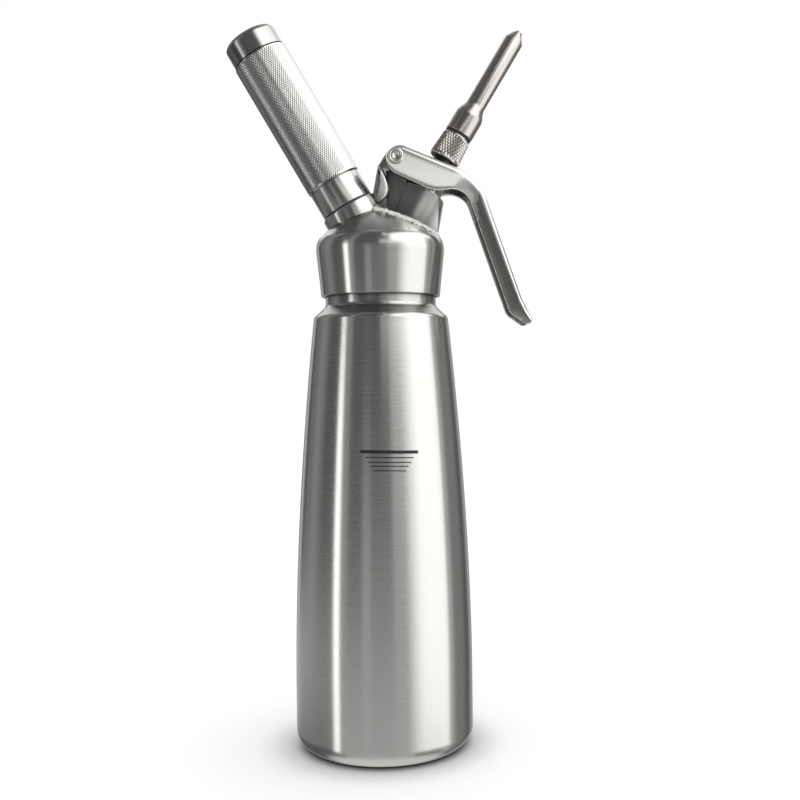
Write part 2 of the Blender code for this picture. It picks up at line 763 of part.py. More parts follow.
def stem_shoulder_top():
    """The shoulder stops a seat gap under the web, whose pivot side hangs lower."""
    lean = math.tan(NOZZLE_TILT - ARM_SLOPE)
    web = LEVER_SHEET / math.cos(NOZZLE_TILT - ARM_SLOPE)
    return arm_place_on_stem() - web - STEM_SHOULDER_RADIUS * lean - SEAT_GAP + STEM_SHOULDER_SLOPE


def build_valve_seal(material, axis):
    low = POPPET_PLACE + POPPET_THICKNESS + SEAT_GAP
    outline = tube_outline(STEM_WAIST_RADIUS + SEAT_GAP, VALVE_SEAL_RADIUS, low, SEAT_PLACE - SEAT_GAP)
    return turned("valve_seal", outline, RING_FACETS, material, axis)


def build_gland(material, axis):
    """Nut that closes the valve bore round the stem, with a hexagonal head."""
    bore = STEM_RADIUS + RUNNING_GAP
    low = O_RING_SEAT + STEM_RING_WIRE + 2 * SEAT_GAP
    head_low = VALVE_BOSS_TOP + SEAT_GAP
    wiper_bore = bore + WIPER_WIRE
    outline = [
        (bore, low),
        (GLAND_BORE_RADIUS, low),
        (GLAND_BORE_RADIUS, head_low),
        (GLAND_HEAD_RADIUS, head_low),
        (GLAND_HEAD_RADIUS, GLAND_NUT_TOP - SEAT_GAP),
        (GLAND_HEAD_RADIUS - SEAT_GAP, GLAND_NUT_TOP),
        (wiper_bore, GLAND_NUT_TOP),
        (wiper_bore, GLAND_NUT_TOP - WIPER_WIRE - SEAT_GAP),
        (bore, GLAND_NUT_TOP - WIPER_WIRE - SEAT_GAP),
    ]
    gland = turned("gland_nut", outline, SMALL_FACETS, material, axis)
    across_flats = GLAND_HEAD_RADIUS * math.cos(math.pi / 6)
    reach = GLAND_HEAD_RADIUS + CUT_OVERRUN
    for number in range(6):
        box = [
            (across_flats, head_low + SEAT_GAP),
            (across_flats + reach, head_low + SEAT_GAP),
            (across_flats + reach, GLAND_NUT_TOP + CUT_OVERRUN),
            (across_flats, GLAND_NUT_TOP + CUT_OVERRUN),
        ]
        side = prism(f"hex_side_{number}", box, -reach, reach, parent=axis)
        side.rotation_euler = (0, 0, math.pi / 6 + math.pi / 3 * number)
        combine(gland, side, "DIFFERENCE")
    return gland


def build_stem_rings(material, axis):
    centre = STEM_RADIUS + SEAT_GAP / 2 + STEM_RING_WIRE / 2
    ring("stem_o_ring", centre, STEM_RING_WIRE, O_RING_SEAT + SEAT_GAP + STEM_RING_WIRE / 2, material, axis)
    bore = STEM_RADIUS + RUNNING_GAP
    wiper_centre = bore + WIPER_WIRE / 2 - SEAT_GAP / 2
    wiper = WIPER_WIRE - SEAT_GAP
    ring("stem_wiper", wiper_centre, wiper, GLAND_NUT_TOP - WIPER_WIRE / 2, material, axis)


def build_adapter(material, axis):
    """Knurled ring that screws onto the stem and carries the tip on its spigot."""
    socket = STEM_RADIUS + SEAT_GAP
    socket_top = STEM_TOP + SEAT_GAP
    spigot_top = ADAPTER_TOP + ADAPTER_SPIGOT_LENGTH
    outline = [
        (socket, ADAPTER_FOOT),
        (ADAPTER_FOOT_RADIUS - ADAPTER_EDGE, ADAPTER_FOOT),
        (ADAPTER_FOOT_RADIUS, ADAPTER_FOOT + ADAPTER_EDGE),
        (ADAPTER_TOP_RADIUS, ADAPTER_TOP - ADAPTER_EDGE),
        (ADAPTER_TOP_RADIUS - ADAPTER_EDGE, ADAPTER_TOP),
        (ADAPTER_SPIGOT_RADIUS, ADAPTER_TOP),
        (ADAPTER_SPIGOT_RADIUS, spigot_top),
        (STEM_BORE_RADIUS, spigot_top),
        (STEM_BORE_RADIUS, socket_top),
        (socket, socket_top),
    ]
    return turned("nozzle_adapter", outline, SMALL_FACETS, material, axis)


def build_tip_washer(material, axis):
    low = ADAPTER_TOP + SEAT_GAP
    inner = ADAPTER_SPIGOT_RADIUS + SEAT_GAP
    outline = tube_outline(inner, ADAPTER_TOP_RADIUS - SEAT_GAP, low, low + WASHER_THICKNESS)
    return turned("tip_washer", outline, SMALL_FACETS, material, axis)


def tip_foot():
    return ADAPTER_TOP + 2 * SEAT_GAP + WASHER_THICKNESS


def build_tip(material, axis):
    """Stainless decorating tip: flared foot, smooth shoulder, straight tube and a slit tulip end."""
    foot = tip_foot()
    shoulder_low = foot + TIP_FOOT_LENGTH
    shoulder_high = shoulder_low + TIP_SHOULDER_LENGTH
    end = foot + TIP_LENGTH
    cone = end - TIP_CONE_LENGTH
    socket = ADAPTER_SPIGOT_RADIUS + SEAT_GAP
    outer = [(TIP_FOOT_RADIUS - ADAPTER_EDGE, foot), (TIP_FOOT_RADIUS, foot + ADAPTER_EDGE)]
    for i in range(7):
        share = i / 6
        blend = (1 - math.cos(math.pi * share)) / 2
        radius = TIP_FOOT_RADIUS + (TIP_TUBE_RADIUS - TIP_FOOT_RADIUS) * blend
        outer.append((radius, shoulder_low + (shoulder_high - shoulder_low) * share))
    outer += [(TIP_TUBE_RADIUS, cone), (TIP_END_RADIUS, end)]
    bore = TIP_TUBE_RADIUS - TIP_WALL
    inner = [
        (TIP_END_RADIUS - TIP_WALL, end),
        (bore, cone),
        (bore, shoulder_high),
        (socket, foot + TIP_SOCKET_DEPTH),
        (socket, foot),
    ]
    tip = turned("nozzle_tip", outer + inner, SMALL_FACETS, material, axis)
    reach = TIP_TUBE_RADIUS + CUT_OVERRUN
    half = TIP_SLIT_WIDTH / 2
    for number in range(TIP_SLITS // 2):
        box = [(-half, end - TIP_SLIT_DEPTH), (half, end - TIP_SLIT_DEPTH)]
        box += [(half, end + CUT_OVERRUN), (-half, end + CUT_OVERRUN)]
        slit = prism(f"tip_slit_{number}", box, -reach, reach, parent=axis)
        slit.rotation_euler = (0, 0, math.tau / TIP_SLITS * number + math.pi / 2)
        combine(tip, slit, "DIFFERENCE")
    return tip


def build_nipple(material, axis):
    """Inlet nipple: shank in the boss, threaded head in the holder's mouth, cup for the charger's neck."""
    seat = INLET_BOSS_TOP + SEAT_GAP
    top = seat + NIPPLE_LENGTH
    cup = top - NIPPLE_CUP_DEPTH
    pin_hole = PIN_RADIUS + SEAT_GAP
    outline = [
        (GAS_BORE_RADIUS, SHANK_FOOT),
        (SHANK_RADIUS, SHANK_FOOT),
        (SHANK_RADIUS, seat),
        (NIPPLE_RADIUS, seat),
        (NIPPLE_RADIUS, top - PIN_BORE_RADIUS),
        (NIPPLE_RADIUS - PIN_BORE_RADIUS, top),
        (NIPPLE_CUP_RADIUS, top),
        (NIPPLE_CUP_RADIUS, cup),
        (pin_hole, cup),
        (pin_hole, cup - PIN_DEPTH),
        (GAS_BORE_RADIUS, cup - PIN_DEPTH),
    ]
    return turned("inlet_nipple", outline, SMALL_FACETS, material, axis)


def nipple_cup_floor():
    return INLET_BOSS_TOP + SEAT_GAP + NIPPLE_LENGTH - NIPPLE_CUP_DEPTH


def build_piercing_pin(material, axis):
    floor = nipple_cup_floor()
    low = floor - PIN_DEPTH + SEAT_GAP
    tip = floor + PIN_REACH
    outline = [
        (PIN_BORE_RADIUS, low),
        (PIN_RADIUS, low),
        (PIN_RADIUS, tip - PIN_POINT),
        (PIN_BORE_RADIUS + SEAT_GAP, tip),
        (PIN_BORE_RADIUS, tip),
    ]
    return turned("piercing_pin", outline, PIN_FACETS, material, axis)


def build_inlet_seals(material, axis):
    floor = nipple_cup_floor()
    low = floor + SEAT_GAP
    outline = tube_outline(
        PIN_RADIUS + SEAT_GAP, NIPPLE_CUP_RADIUS - SEAT_GAP, low, low + CHARGER_SEAL_THICKNESS
    )
    turned("charger_seal", outline, RING_FACETS, material, axis)
    wire = NIPPLE_RING_WIRE - SEAT_GAP
    centre = (SHANK_RADIUS + SEAT_GAP + NIPPLE_RADIUS - NIPPLE_RING_WIRE) / 2
    ring("nipple_o_ring", centre, wire, INLET_BOSS_TOP - NIPPLE_RING_WIRE / 2, material, axis)


def build_check_valve(material, axis):
    """Rubber non-return valve pressed into the pocket under the gas way, with a lip towards the cream."""
    top = CHECK_POCKET_TOP - SEAT_GAP
    disc = top - CHECK_VALVE_THICKNESS
    outline = [
        (PIN_BORE_RADIUS, disc - CHECK_VALVE_LIP),
        (CHECK_VALVE_RADIUS / 2, disc - CHECK_VALVE_LIP),
        (CHECK_VALVE_RADIUS * CHECK_VALVE_ROOT_SHARE, disc),
        (CHECK_VALVE_RADIUS, disc),
        (CHECK_VALVE_RADIUS, top),
        (PIN_BORE_RADIUS, top),
    ]
    return turned("inlet_check_valve", outline, RING_FACETS, material, axis)


def charger_nose():
    return nipple_cup_floor() + CHARGER_SEAL_THICKNESS + 2 * SEAT_GAP


def build_charger(material, axis):
    """Gas charger with its pierced nose, neck, shoulder and round bottom."""
    nose = charger_nose()
    neck_end = nose + CHARGER_NECK_LENGTH
    shoulder_end = neck_end + CHARGER_SHOULDER_LENGTH
    end = nose + CHARGER_LENGTH
    hole = PIN_RADIUS + SEAT_GAP
    outline = [
        (0, nose + CHARGER_PIERCED_DEPTH),
        (hole, nose + CHARGER_PIERCED_DEPTH),
        (hole, nose),
        (CHARGER_NECK_RADIUS - SEAT_GAP, nose),
        (CHARGER_NECK_RADIUS, nose + SEAT_GAP),
        (CHARGER_NECK_RADIUS, neck_end),
    ]
    for i in range(1, 5):
        share = i / 4
        blend = (1 - math.cos(math.pi * share)) / 2
        radius = CHARGER_NECK_RADIUS + (CHARGER_RADIUS - CHARGER_NECK_RADIUS) * blend
        outline.append((radius, neck_end + CHARGER_SHOULDER_LENGTH * share))
    outline.append((CHARGER_RADIUS, (shoulder_end + end - CHARGER_RADIUS) / 2))
    bottom = arc((0, end - CHARGER_RADIUS), CHARGER_RADIUS, 0, math.pi / 2)
    outline += bottom[:-1] + [(0, end)]
    return turned("gas_charger", outline, SMALL_FACETS, material, axis)


def collar_foot():
    return INLET_BOSS_TOP + SEAT_GAP


def build_holder(steel, grip_steel, axis):
    """Holder tube with its smooth collar, the knurled grip round it and the plug-like end cap."""
    foot = collar_foot()
    collar_top = foot + COLLAR_LENGTH
    grip_low = collar_top + SEAT_GAP
    grip_high = grip_low + GRIP_LENGTH
    mouth = NIPPLE_RADIUS + THREAD_CLEARANCE
    thread_top = foot + NIPPLE_LENGTH + SEAT_GAP
    edge = GRIP_EDGE
    tube = [
        (mouth, foot),
        (COLLAR_RADIUS - edge, foot),
        (COLLAR_RADIUS, foot + edge),
        (COLLAR_RADIUS, collar_top),
        (HOLDER_TUBE_RADIUS, collar_top),
        (HOLDER_TUBE_RADIUS, grip_high),
        (HOLDER_BORE_RADIUS, grip_high),
        (HOLDER_BORE_RADIUS, thread_top + mouth - HOLDER_BORE_RADIUS),
        (mouth, thread_top),
    ]
    turned("holder_tube", tube, GRIP_FACETS, steel, axis)
    sleeve = [
        (HOLDER_TUBE_RADIUS + SEAT_GAP, grip_low),
        (GRIP_RADIUS - edge, grip_low),
        (GRIP_RADIUS, grip_low + edge),
        (GRIP_RADIUS, grip_high - edge),
        (GRIP_RADIUS - edge, grip_high),
        (HOLDER_TUBE_RADIUS + SEAT_GAP, grip_high),
    ]
    turned("holder_grip", sleeve, GRIP_FACETS, grip_steel, axis)
    cap_low = grip_high + SEAT_GAP
    cap_high = cap_low + CAP_LENGTH
    plug = HOLDER_BORE_RADIUS - SEAT_GAP
    cup_radius = CHARGER_RADIUS + SEAT_GAP
    bulb_end = charger_nose() + CHARGER_LENGTH + SEAT_GAP
    rim_half = math.asin(min(plug / cup_radius, 1) * CAP_HOLLOW_SHARE)
    hollow = [
        (cup_radius * math.sin(angle), bulb_end - cup_radius * (1 - math.cos(angle)))
        for angle in (rim_half * i / 3 for i in range(4))
    ]
    outline = hollow + [(plug, hollow[-1][1]), (plug, cap_low), (CAP_RADIUS, cap_low)]
    outline += arc((CAP_RADIUS - CAP_EDGE, cap_high - CAP_EDGE), CAP_EDGE, 0, math.pi / 2)
    outline.append((0, cap_high + CAP_DOME))
    turned("holder_cap", outline, GRIP_FACETS, steel, axis)


def line_through(point, direction):
    return Vector(point), Vector(direction).normalized()


def meet(first, second):
    """Where two lines in a plane cross."""
    (p, d), (q, e) = first, second
    cross = d.x * e.y - d.y * e.x
    along = ((q.x - p.x) * e.y - (q.y - p.y) * e.x) / cross
    return p + d * along


def rounded_corner(before, corner, after, radius, count):
    """Points of the arc that rounds a corner of a path."""
    incoming = (before - corner).normalized()
    outgoing = (after - corner).normalized()
    half = incoming.angle(outgoing) / 2
    start = corner + incoming * radius / math.tan(half)
    centre = corner + (incoming + outgoing).normalized() * radius / math.sin(half)
    end = corner + outgoing * radius / math.tan(half)
    sweep = (start - centre).angle_signed(end - centre)
    points = []
    for i in range(count + 1):
        turn = Matrix.Rotation(-sweep * i / count, 2)
        points.append(centre + turn @ (start - centre))
    return points


def evened(path, count):
    """Points at equal steps along a path."""
    lengths = [(b - a).length for a, b in zip(path, path[1:])]
    step = sum(lengths) / (count - 1)
    points = [path[0]]
    walked = 0.0
    for (a, b), length in zip(zip(path, path[1:]), lengths):
        while len(points) < count - 1 and walked + length >= step * len(points):
            points.append(a.lerp(b, (step * len(points) - walked) / length))
        walked += length
    points.append(path[-1])
    return points


def lever_lines():
    """The straight lines that the lever's outline follows, in the X and Z of the pivot."""
    arm = Vector((math.cos(ARM_SLOPE), -math.sin(ARM_SLOPE)))
    arm_normal = Vector((math.sin(ARM_SLOPE), math.cos(ARM_SLOPE)))
    handle = Vector((math.sin(HANDLE_SLOPE), -math.cos(HANDLE_SLOPE)))
    handle_normal = Vector((math.cos(HANDLE_SLOPE), math.sin(HANDLE_SLOPE)))
    knee = arm_normal * ARM_TOP_OFFSET + arm * ARM_LENGTH
    flare_start = knee + handle * HANDLE_RUN
    flare = Vector((math.sin(TIP_FLARE_SLOPE), -math.cos(TIP_FLARE_SLOPE)))
    plate_normal = Vector((math.sin(PLATE_EDGE_SLOPE), math.cos(PLATE_EDGE_SLOPE)))
    sill_normal = Vector((-math.sin(SILL_SLOPE), math.cos(SILL_SLOPE)))
    inner = flare_start - handle_normal * HANDLE_DEPTH
    cut_start = inner + handle * TIP_CUT_DROP
    return {
        "end": line_through((-ARM_END_REACH, 0), (0, 1)),
        "arm": line_through(arm_normal * ARM_TOP_OFFSET, arm),
        "handle": line_through(knee, handle),
        "flare": line_through(flare_start, flare),
        "plate": line_through(-plate_normal * PLATE_EDGE_OFFSET, (plate_normal.y, -plate_normal.x)),
        "sill": line_through(-sill_normal * SILL_OFFSET, (sill_normal.y, -sill_normal.x)),
        "inner": line_through(inner, handle),
        "cut": line_through(cut_start, (math.cos(TIP_CUT_SLOPE), -math.sin(TIP_CUT_SLOPE))),
    }


def lever_paths():
    """Back and free edge of the lever from the pivot's end to the finger end, in matching zones."""
    lines = lever_lines()
    end_top = meet(lines["end"], lines["arm"])
    knee = meet(lines["arm"], lines["handle"])
    flare = meet(lines["handle"], lines["flare"])
    tip = meet(lines["flare"], lines["cut"])
    end_low = meet(lines["end"], lines["plate"])
    heel = meet(lines["plate"], lines["sill"])
    crook = meet(lines["sill"], lines["inner"])
    cut = meet(lines["inner"], lines["cut"])
    back_end = rounded_corner(Vector((-ARM_END_REACH, 0)), end_top, knee, ARM_END_ROUND, 8)
    back_knee = rounded_corner(end_top, knee, flare, KNEE_ROUND, 8)
    back_flare = rounded_corner(knee, flare, tip, TIP_FLARE_ROUND, 3)
    tip_turn = rounded_corner(flare, tip, cut, TIP_ROUND, 6)
    edge_end = rounded_corner(Vector((-ARM_END_REACH, 0)), end_low, heel, PLATE_CORNER_ROUND, 8)
    edge_heel = rounded_corner(end_low, heel, crook, HEEL_ROUND, 6)
    edge_crook = rounded_corner(heel, crook, cut, CROOK_ROUND, 8)
    edge_cut = rounded_corner(crook, cut, tip, FINGER_END_ROUND, 4)
    back = [
        back_end,
        [back_end[-1], back_knee[0]],
        back_knee,
        [back_knee[-1], back_flare[0]],
        back_flare + tip_turn[:3],
    ]
    edge = [
        edge_end,
        [edge_end[-1]] + edge_heel + [edge_crook[0]],
        edge_crook,
        [edge_crook[-1], edge_cut[0]],
        edge_cut + tip_turn[:3:-1],
    ]
    counts = LEVER_ZONE_POINTS
    return (
        [evened(path, count) for path, count in zip(back, counts)],
        [evened(path, count) for path, count in zip(edge, counts)],
    )


def lever_stations():
    """Pairs of back point and free edge point with the width and lip they carry."""
    back, edge = lever_paths()
    stations = []
    for zone, (backs, edges) in enumerate(zip(back, edge)):
        for i, (outer, free) in enumerate(zip(backs, edges)):
            if zone and not i:
                continue
            handle_share = 0.0
            if zone == 2:
                handle_share = i / (len(backs) - 1)
            elif zone > 2:
                handle_share = 1.0
            smooth = handle_share * handle_share * (3 - 2 * handle_share)
            stations.append((outer, free, smooth))
    return stations


def channel_half(depth, share, inset, floor):
    """Half of the channel's outer or inner line: its bend, its side and its free edge."""
    width = LEVER_HALF_WIDTH + (HANDLE_HALF_WIDTH - LEVER_HALF_WIDTH) * share - inset
    room = (depth - floor) * ROUNDING_LIMIT_SHARE
    bend = min(max(LEVER_BEND - inset, LEVER_SHEET / 3), room)
    side = min(depth + (HANDLE_SIDE_DEPTH - depth) * share, depth * LIP_LIMIT_SHARE)
    side = max(side, floor + bend * SIDE_START_SHARE)
    turns = (math.pi / 2 * i / 3 for i in range(4))
    points = [(floor + bend * (1 - math.cos(turn)), width - bend * (1 - math.sin(turn))) for turn in turns]
    return points + [(side, width), (depth, width - HANDLE_LIP_INSET * share)]


def lever_section(outer, free, share, web_share):
    """A ring round the channel's section at one station, with the web that much of its depth."""
    depth = (free - outer).length
    inward = (free - outer) / depth
    floor = max(min(LEVER_SHEET, depth * ROUNDING_LIMIT_SHARE), depth * web_share)
    outside = channel_half(depth, share, 0, 0)
    inside = channel_half(depth, share, LEVER_SHEET, floor)
    far = outside + inside[::-1]
    points = []
    for d, y in far + [(d, -y) for d, y in reversed(far)]:
        place = outer + inward * d
        points.append((place.x, y, place.y))
    return points


def lever_fork(pivot):
    """Gap in the web over the lug."""
    half_width = LEVER_HALF_WIDTH - LEVER_SHEET + FORK_RELIEF
    low = -ARM_END_REACH - CUT_OVERRUN
    foot = -SILL_OFFSET - CUT_OVERRUN
    top = ARM_TOP_OFFSET + CUT_OVERRUN
    outline = [(low, foot), (FORK_DEPTH, foot), (FORK_DEPTH, top), (low, top)]
    return prism("lever_fork", outline, -half_width, half_width, parent=pivot)


def stem_slot(pivot):
    """Long hole in the web that the stem passes through, square to the web."""
    place = arm_place_on_stem()
    cross = Vector((0, 0, LAND_HEIGHT - NOZZLE_CROSS_DROP))
    direction = Vector((math.sin(NOZZLE_TILT), 0, math.cos(NOZZLE_TILT)))
    centre = cross + direction * place - PIVOT
    radius = STEM_SLOT_RADIUS
    outline = arc((0, 0), radius, -math.pi / 2, math.pi / 2, SLOT_FACETS)
    outline += arc((-STEM_SLOT_TRAVEL, 0), radius, math.pi / 2, 3 * math.pi / 2, SLOT_FACETS)
    bm = bmesh.new()
    face = bm.faces.new([bm.verts.new((x, y, -CUT_OVERRUN)) for x, y in outline])
    grown = bmesh.ops.extrude_face_region(bm, geom=[face])["geom"]
    moved = [item for item in grown if isinstance(item, bmesh.types.BMVert)]
    bmesh.ops.translate(bm, verts=moved, vec=(0, 0, 2 * CUT_OVERRUN))
    slot = object_from("stem_slot", bm, parent=pivot)
    slot.rotation_euler = (0, ARM_SLOPE, 0)
    slot.location = centre
    return slot


def build_lever(material, pivot):
    """Pressed channel lever: forked end round the lug, plate over the valve, long finger handle."""
    stations = lever_stations()
    sections = []
    for number, (outer, free, share) in enumerate(stations):
        closing = number - len(stations) + 1 + len(TIP_WEB_SHARES)
        web_share = TIP_WEB_SHARES[closing - 1] if closing > 0 else 0
        sections.append(lever_section(outer, free, share, web_share))
    lever = lofted("lever", sections, material, pivot)
    combine(lever, lever_fork(pivot), "DIFFERENCE")
    combine(lever, stem_slot(pivot), "DIFFERENCE")
    reach = LEVER_HALF_WIDTH + CUT_OVERRUN
    holes = cross_bore("lever_pin_holes", PIN_SHAFT_RADIUS + RUNNING_GAP, reach, (0, 0, 0), pivot)
    combine(lever, holes, "DIFFERENCE")
    return lever


def on_pivot(name, outline, material, pivot, facets=SMALL_FACETS):
    """A turned piece whose own Z points along the pivot, from the near side to the far side."""
    piece = turned(name, outline, facets, material, pivot)
    piece.rotation_euler = (-math.pi / 2, 0, 0)
    return piece


def build_pivot_pin(material, pivot):
    """Pin with a domed head, its retaining ring, and a thrust washer on each side of the lug."""
    face = LEVER_HALF_WIDTH + SEAT_GAP
    tail = face + RETAINER_THICKNESS + SEAT_GAP + PIN_TAIL
    dome = [
        (PIN_HEAD_RADIUS * math.cos(angle), -face - PIN_HEAD_HEIGHT * math.sin(angle))
        for angle in (math.pi / 2 * i / 4 for i in range(4))
    ]
    outline = [(0, -face - PIN_HEAD_HEIGHT)] + dome[::-1]
    outline += [(PIN_SHAFT_RADIUS, -face), (PIN_SHAFT_RADIUS, tail), (0, tail)]
    on_pivot("pivot_pin", outline, material, pivot)
    bore = PIN_SHAFT_RADIUS + SEAT_GAP
    retainer = tube_outline(bore, RETAINER_RADIUS, face, face + RETAINER_THICKNESS)
    on_pivot("pin_retainer", retainer, material, pivot, RING_FACETS)
    low = LUG_HALF_WIDTH + SEAT_GAP
    high = LEVER_HALF_WIDTH - LEVER_SHEET - SEAT_GAP
    far = tube_outline(bore, THRUST_WASHER_RADIUS, low, high)
    near = tube_outline(bore, THRUST_WASHER_RADIUS, -high, -low)
    on_pivot("thrust_washer_far", far, material, pivot, RING_FACETS)
    on_pivot("thrust_washer_near", near, material, pivot, RING_FACETS)


def build_dispenser():
    clear_scene()
    steel = make_material("brushed_steel", STEEL, 0.30, 1.0)
    polished = make_material("polished_steel", POLISHED, 0.14, 1.0)
    gunmetal = make_material("dark_steel", GUNMETAL, 0.28, 1.0)
    brass = make_material("brass", BRASS, 0.30, 1.0)
    silicone = make_material("silicone", SILICONE, 0.60, 0.0)

    head = make_empty("head_land", (0, 0, LAND_HEIGHT))
    nozzle_axis = make_empty("nozzle_axis", (0, 0, -NOZZLE_CROSS_DROP), NOZZLE_TILT, head)
    holder_axis = make_empty("holder_axis", (0, 0, -HOLDER_CROSS_DROP), HOLDER_TILT, head)
    pivot = make_empty("lever_pivot", (PIVOT_X, 0, PIVOT_RISE), 0.0, head)

    build_bottle(steel)
    build_gasket(silicone, head)
    build_head(steel, head, nozzle_axis, holder_axis)
    build_cage(steel, nozzle_axis)
    build_spring(steel, nozzle_axis)
    build_stem(steel, nozzle_axis)
    build_valve_seal(silicone, nozzle_axis)
    build_gland(steel, nozzle_axis)
    build_stem_rings(silicone, nozzle_axis)
    build_adapter(gunmetal, nozzle_axis)
    build_tip_washer(silicone, nozzle_axis)
    build_tip(gunmetal, nozzle_axis)
    build_nipple(brass, holder_axis)
    build_piercing_pin(steel, holder_axis)
    build_inlet_seals(silicone, holder_axis)
    build_check_valve(silicone, holder_axis)
    build_charger(polished, holder_axis)
    build_holder(polished, steel, holder_axis)
    build_lever(polished, pivot)
    build_pivot_pin(polished, pivot)


build_dispenser()
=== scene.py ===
"""Looks of the whipped cream dispenser: fine meshes, brushed and polished steel, and a plain studio.

Metres, +Z up. The origin is the centre of the bottle's base, and +X points to the nozzle and the lever.
Turned pieces are modelled along their own Z and placed on the axis that carries them.
"""

import json
import math

import bmesh
import bpy
from mathutils import Matrix, Vector, noise


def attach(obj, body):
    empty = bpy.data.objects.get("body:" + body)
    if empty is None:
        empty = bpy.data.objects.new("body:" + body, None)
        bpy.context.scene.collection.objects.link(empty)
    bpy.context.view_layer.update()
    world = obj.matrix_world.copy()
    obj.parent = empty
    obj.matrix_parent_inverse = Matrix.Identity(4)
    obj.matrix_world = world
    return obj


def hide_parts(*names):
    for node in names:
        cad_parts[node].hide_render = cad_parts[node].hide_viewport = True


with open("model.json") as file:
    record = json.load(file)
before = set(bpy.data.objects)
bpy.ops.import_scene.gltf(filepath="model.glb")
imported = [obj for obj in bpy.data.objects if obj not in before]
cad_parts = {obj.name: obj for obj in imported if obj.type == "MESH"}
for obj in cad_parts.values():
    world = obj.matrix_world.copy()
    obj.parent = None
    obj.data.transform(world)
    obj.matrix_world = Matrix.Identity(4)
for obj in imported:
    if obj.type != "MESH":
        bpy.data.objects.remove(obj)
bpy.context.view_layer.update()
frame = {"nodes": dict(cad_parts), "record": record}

# Steps along curves and facets round pieces
BODY_FACETS = 160
BOSS_FACETS = 112
SMALL_FACETS = 72
CORNER_STEPS = 5
SIDE_STEPS = 60
FLAT_STEPS = 80
DOME_STEPS = 24
SKIRT_STEPS = 12
STRIP_STEPS = 48
EYE_STEPS = 24
LUG_STEPS = 30
SEAT_GAP = 0.0003
CUT_OVERRUN = 0.004
WELD = 0.000002
SHARP_ANGLE = math.radians(32)
KNURL_SHARP_ANGLE = math.radians(12)
LARGEST_ROUND_SHARE = 0.45

# Bottle
BODY_RADIUS = 0.0420
BELLY_HEIGHT = 0.0330
BASE_FLAT_RADIUS = 0.0335
BASE_CORNER_HEIGHT = 0.0085
SHOULDER_HEIGHT = 0.2042
SHOULDER_RADIUS = 0.0320
SHOULDER_ROUND = 0.0032
SHOULDER_TURN = math.radians(62)
NECK_RADIUS = 0.02615
NECK_FOOT_HEIGHT = 0.2078
NECK_TOP_HEIGHT = 0.2312
NECK_FILLET = 0.0030
NECK_LIP = 0.0006
BODY_WALL = 0.0012
NECK_WALL = 0.0018
TAPER_POWER = 1.8
THREAD_HEIGHT = 0.00036
THREAD_PITCH = 0.0032
THREAD_TURNS = 4
THREAD_FOOT = 0.0150
THREAD_ROOT_DEPTH = 0.0001
THREAD_PROFILE_SHARES = ((-0.42, 0), (-0.12, 1), (0.12, 1), (0.42, 0))

# Fill mark: arc lengths on the bottle's front, the thick line and the thin ones under it
MARK_HEIGHT = 0.1410
MARK_TURN = math.radians(4.0)
MARK_LEAN = -0.024
MARK_THICKNESS = 0.0014
MARK_HALF_LENGTH = 0.0131
MARK_LIFT = 0.00004
THIN_MARKS = ((0.0025, 0.0109), (0.0046, 0.0097), (0.0063, 0.0084), (0.0083, 0.0071))
THIN_MARK_THICKNESS = 0.00042

# Head: heights are above the land that the gasket seals on
LAND_HEIGHT = 0.2350
SKIRT_DROP = 0.0227
SKIRT_FOOT_RADIUS = 0.0282
SKIRT_RADIUS = 0.0304
SKIRT_WIDEST_DROP = 0.0010
SKIRT_TOP_RISE = 0.0055
SKIRT_TOP_RADIUS = 0.0276
SKIRT_EDGE = 0.0006
DOME_RADIUS = 0.0350
RECESS_RADIUS = 0.0205
RECESS_RISE = 0.0080
NECK_CLEARANCE = 0.00045

# Slanted axes: each crosses the bottle's axis this far under the land
NOZZLE_CROSS_DROP = 0.0084
NOZZLE_TILT = math.radians(31.0)
HOLDER_CROSS_DROP = 0.0057
HOLDER_TILT = math.radians(-30.1)

# Valve boss, stem and gland, places along the nozzle axis
VALVE_BOSS_TOP = 0.0420
VALVE_BOSS_TOP_RADIUS = 0.0103
VALVE_BOSS_FOOT = 0.0140
VALVE_BOSS_FOOT_RADIUS = 0.0208
VALVE_BOSS_EDGE = 0.0009
FLAT_HALF_WIDTH = 0.0081
FLAT_MIDDLE = 0.0036
FLAT_ROUND_LEFT = 0.034
FLAT_ROUND_RIGHT = 0.022
FLAT_ROUND_TURN = math.radians(30)
BOSS_SIDE_TOP_X = 0.0125
BOSS_SIDE_TOP_RISE = 0.0310
BOSS_SIDE_FOOT_X = 0.0065
BOSS_SIDE_FOOT_RISE = 0.0130
BOSS_SIDE_COVER = 0.0010
CAGE_BORE_RADIUS = 0.0074
SEAT_PLACE = 0.0313
SEAT_BORE_RADIUS = 0.0049
GLAND_BORE_RADIUS = 0.0071
O_RING_SEAT = 0.0365
CAGE_FOOT = 0.0120
STEM_RADIUS = 0.0045
STEM_BORE_RADIUS = 0.0023
STEM_TOP = 0.0680
BEAD_RADIUS = 0.0015
BEAD_FLATNESS = 0.6
BEAD_ROUGHNESS = 0.0010
BEAD_GRAINS = 1900
BEAD_NOISE = (0.7, 2.0, 3)
BEAD_STEPS = 420
BEAD_SIDES = 14
WELD_METALLIC_SHARE = 0.35
SEAM_HALVINGS = 30

